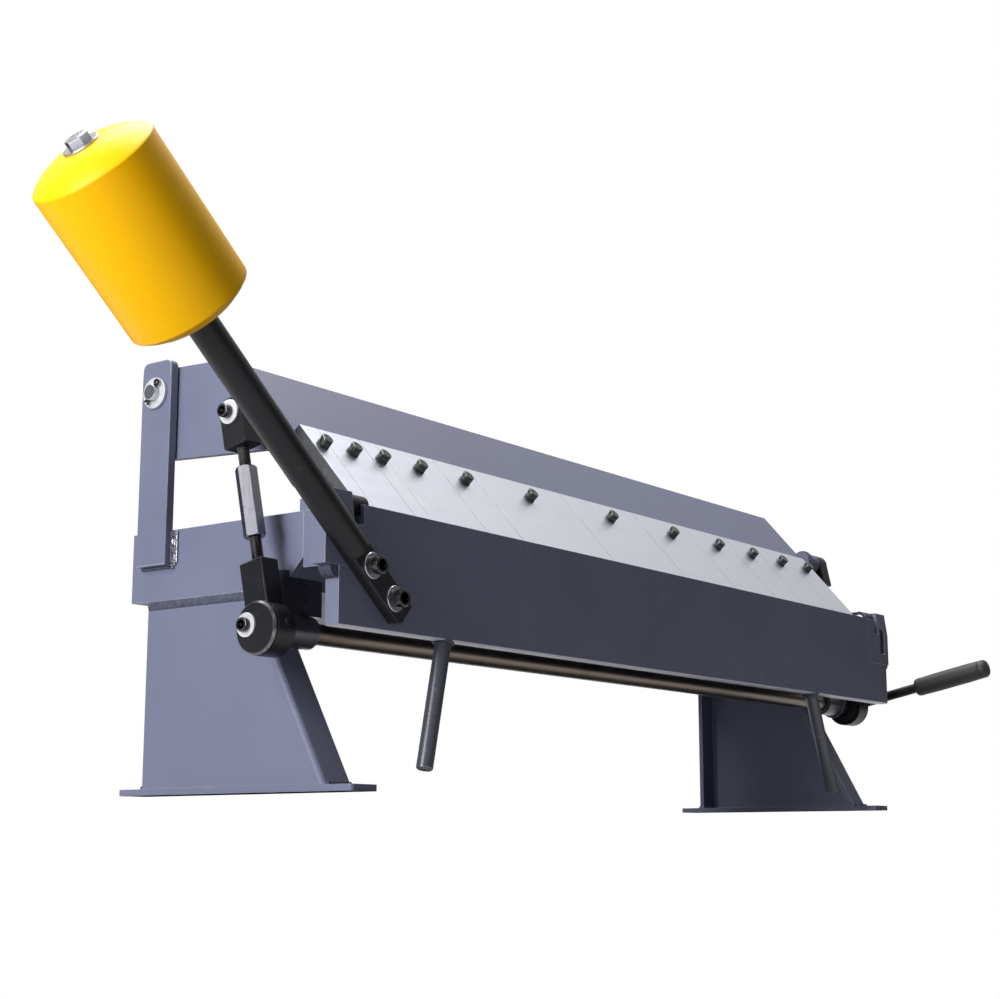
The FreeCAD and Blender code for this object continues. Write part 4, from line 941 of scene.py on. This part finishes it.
def along_path(whole, path, radius, ripple=0.0):
    ways = [(after - before).normalized() for before, after in zip(path, path[1:])]
    ways.append(ways[-1])
    start = Matrix.Translation(path[0]) @ ways[0].to_track_quat("Z", "Y").to_matrix().to_4x4()
    ring = bmesh.ops.create_circle(whole, cap_ends=True, segments=RING_SIDES, radius=radius / 1000.0,
                                   matrix=start)["verts"]
    edges = list({edge for vert in ring for edge in vert.link_edges})
    size = 1.0
    for number in range(1, len(path)):
        made = bmesh.ops.extrude_edge_only(whole, edges=edges)["geom"]
        ring = verts_of(made)
        edges = edges_among([item for item in made if isinstance(item, bmesh.types.BMEdge)], ring)
        turn = ways[number - 1].rotation_difference(ways[number]).to_matrix()
        bmesh.ops.translate(whole, verts=ring, vec=path[number] - path[number - 1])
        bmesh.ops.rotate(whole, verts=ring, cent=path[number], matrix=turn)
        goal = 1.0 - (ripple if number % 2 else 0.0) * ripple_dice.uniform(*RIPPLE_RANGE)
        bmesh.ops.scale(whole, verts=ring, vec=Vector((1, 1, 1)) * goal / size,
                        space=Matrix.Translation(-path[number]))
        size = goal
    bmesh.ops.edgeloop_fill(whole, edges=edges)


def line(start, end, spacing):
    count = max(2, round((end - start).length * 1000.0 / spacing))
    return [start.lerp(end, number / count) for number in range(count + 1)]


def ring_path(centre, axis, radius):
    arm = axis.orthogonal().normalized() * radius / 1000.0
    count = round(math.tau * radius / BEAD_SPACING)
    return [centre + Matrix.Rotation(math.tau * number / count, 3, axis) @ arm for number in range(count + 2)]


# %% Weld beads of the frame
# A weld is its radius and its ripple. The beads are those of the right end, and the left end mirrors them. A
# straight bead has its start, its end, its weld and its spacing, and an upright bead its offset and its radius.
LEG_WELD, PLATE_WELD, LOW_WELD = (5.2, 0.12), (2.4, 0.16), (1.9, 0.16)
STRAIGHT_BEADS = (
    ((537.6, 5.0, 181.0), (537.6, 138.0, 181.0), LEG_WELD, 3.0),
    ((541.6, -6.6, 221.0), (541.6, -6.6, 252.0), PLATE_WELD, BEAD_SPACING),
    ((541.6, 34.6, 221.0), (541.6, 34.6, 252.0), PLATE_WELD, BEAD_SPACING),
    ((541.6, -6.0, 218.0), (541.6, 34.0, 218.0), LOW_WELD, BEAD_SPACING),
    ((506.0, -0.6, 6.6), (537.0, -0.6, 6.6), PLATE_WELD, BEAD_SPACING),
    ((506.0, 237.6, 6.6), (537.0, 237.6, 6.6), PLATE_WELD, BEAD_SPACING),
)
BOSS_WELD_X, BOSS_WELD_R = 548.4, 16.1
UPRIGHT_BEADS = ((0.0, 3.0), (3.0, 2.6), (5.4, 1.8))
UPRIGHT_X, UPRIGHT_DEPTH, UPRIGHT_LOW, UPRIGHT_HIGH = 540.8, 35.6, 216.0, 252.0
UPRIGHT_RIPPLE = 0.40
UPRIGHT_SPACING = 1.6
WELD_SMOOTH = 60.0

frame_welds = bmesh.new()
bright_welds = bmesh.new()
for side in (-1.0, 1.0):
    for (x, *start), (end_x, *end), weld, spacing in STRAIGHT_BEADS:
        path = line(at(side * x, *start), at(side * end_x, *end), spacing)
        along_path(frame_welds, path, *weld)
    along_path(frame_welds, ring_path(at(side * BOSS_WELD_X, *SHAFT_CENTRE), RIGHT, BOSS_WELD_R), *PLATE_WELD)
    for offset, radius in UPRIGHT_BEADS:
        low = at(side * UPRIGHT_X, UPRIGHT_DEPTH + offset, UPRIGHT_LOW + offset)
        high = at(side * UPRIGHT_X, UPRIGHT_DEPTH + offset, UPRIGHT_HIGH)
        along_path(bright_welds, line(low, high, UPRIGHT_SPACING), radius, UPRIGHT_RIPPLE)
place_piece(frame_welds, "frame_welds", "frame", "frame_paint", "weld_paint", WELD_SMOOTH)
place_piece(bright_welds, "upright_welds", "frame", "bright_steel", "weld_metal", WELD_SMOOTH)
print("frame welds", 2 * (len(STRAIGHT_BEADS) + 1 + len(UPRIGHT_BEADS)), "beads")

# %% Weld beads of the beam and the apron
LUG_WELD_X, LUG_WELD_R = 538.4, 14.8
HANDLE_WELD, HANDLE_WELD_R = (2.2, 0.16), 8.8
HANDLE_DEPTH = 258.0
HANDLE_ENDS = ((-400.0, -427.0), (348.0, 398.0))
HANDLE_ROOT_Z, HANDLE_TIP_Z, HANDLE_WELD_Z = 143.0, 21.5, 142.0
EAR_WELDS = ((-558.5, 10.5), (558.5, 4.5))
EAR_WELD_BACK, EAR_WELD_FRONT, EAR_WELD_Z = 251.5, 265.6, 195.0
EAR_RIPPLE = 0.06
EAR_SPACING = 2.4

beam_welds = bmesh.new()
apron_welds = bmesh.new()
for side in (-1.0, 1.0):
    along_path(beam_welds, ring_path(at(side * LUG_WELD_X, *BEAM_LUG), RIGHT, LUG_WELD_R), *PLATE_WELD)
for root_x, tip_x in HANDLE_ENDS:
    way = (at(tip_x, HANDLE_DEPTH, HANDLE_TIP_Z) - at(root_x, HANDLE_DEPTH, HANDLE_ROOT_Z)).normalized()
    ring_centre = at(root_x, HANDLE_DEPTH, HANDLE_WELD_Z)
    along_path(apron_welds, ring_path(ring_centre, way, HANDLE_WELD_R), *HANDLE_WELD)
for ear_x, radius in EAR_WELDS:
    path = line(at(ear_x, EAR_WELD_BACK, EAR_WELD_Z), at(ear_x, EAR_WELD_FRONT, EAR_WELD_Z), EAR_SPACING)
    along_path(apron_welds, path, radius, EAR_RIPPLE)
place_piece(beam_welds, "beam_welds", "beam", "frame_paint", "weld_paint", WELD_SMOOTH)
place_piece(apron_welds, "apron_welds", "apron", "frame_paint", "weld_paint", WELD_SMOOTH)
print("beam welds", 2, "beads, apron welds", len(HANDLE_ENDS) + len(EAR_WELDS), "beads")

# %% Cotter pins
# A pin runs from one splayed leg through the bolt, once round its eye and back to the other leg.
PIN_X = 556.4
COTTER_ANGLE = math.radians(55.0)
COTTER_WIRE = 1.2
LEG_TIP, LEG_SPLAY = 13.0, 2.6
LEG_BEND, EYE_NECK, NECK_HALF = 8.5, 7.8, 0.9
LEG_SHORTER = 1.0
EYE_UP = 11.4
EYE_R = 2.6
EYE_STEPS = 12
EYE_FROM = -110.0
EYE_SWEEP = 320.0

cotter_up = Vector((0.0, -math.cos(COTTER_ANGLE), math.sin(COTTER_ANGLE)))
cotter_across = cotter_up.cross(RIGHT).normalized()
corners = [(-NECK_HALF, EYE_NECK)]
for step in range(EYE_STEPS + 1):
    angle = math.radians(EYE_FROM - EYE_SWEEP / EYE_STEPS * step)
    corners.append((EYE_R * math.cos(angle), EYE_UP + EYE_R * math.sin(angle)))
corners = ([(-LEG_SPLAY, -LEG_TIP), (-NECK_HALF, -LEG_BEND)] + corners
           + [(NECK_HALF, EYE_NECK), (NECK_HALF, -LEG_BEND), (LEG_SPLAY, LEG_SHORTER - LEG_TIP)])
cotter_pins = bmesh.new()
for side in (-1.0, 1.0):
    middle = at(side * PIN_X, *BEAM_PIVOT)
    wire = [middle + (cotter_up * up + cotter_across * across) / 1000.0 for across, up in corners]
    along_path(cotter_pins, wire, COTTER_WIRE)
piece = place_piece(cotter_pins, "cotter_wires", "beam", "dark_steel", smooth_angle=WELD_SMOOTH)
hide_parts("cotter_pins")
print("cotter pins", len(piece.data.polygons), "faces")

# %% [markdown]
# ## Closing
# The CAD solids that no piece stands for keep their own shape and get the finish of their record.

# %% Finishes on the CAD nodes
for node, cad_object in nodes.items():
    cad_object.data.materials.clear()
    cad_object.data.materials.append(finishes[slots[node]])
shown = [node for node, cad_object in nodes.items() if not cad_object.hide_render]
print("CAD nodes still shown", shown)
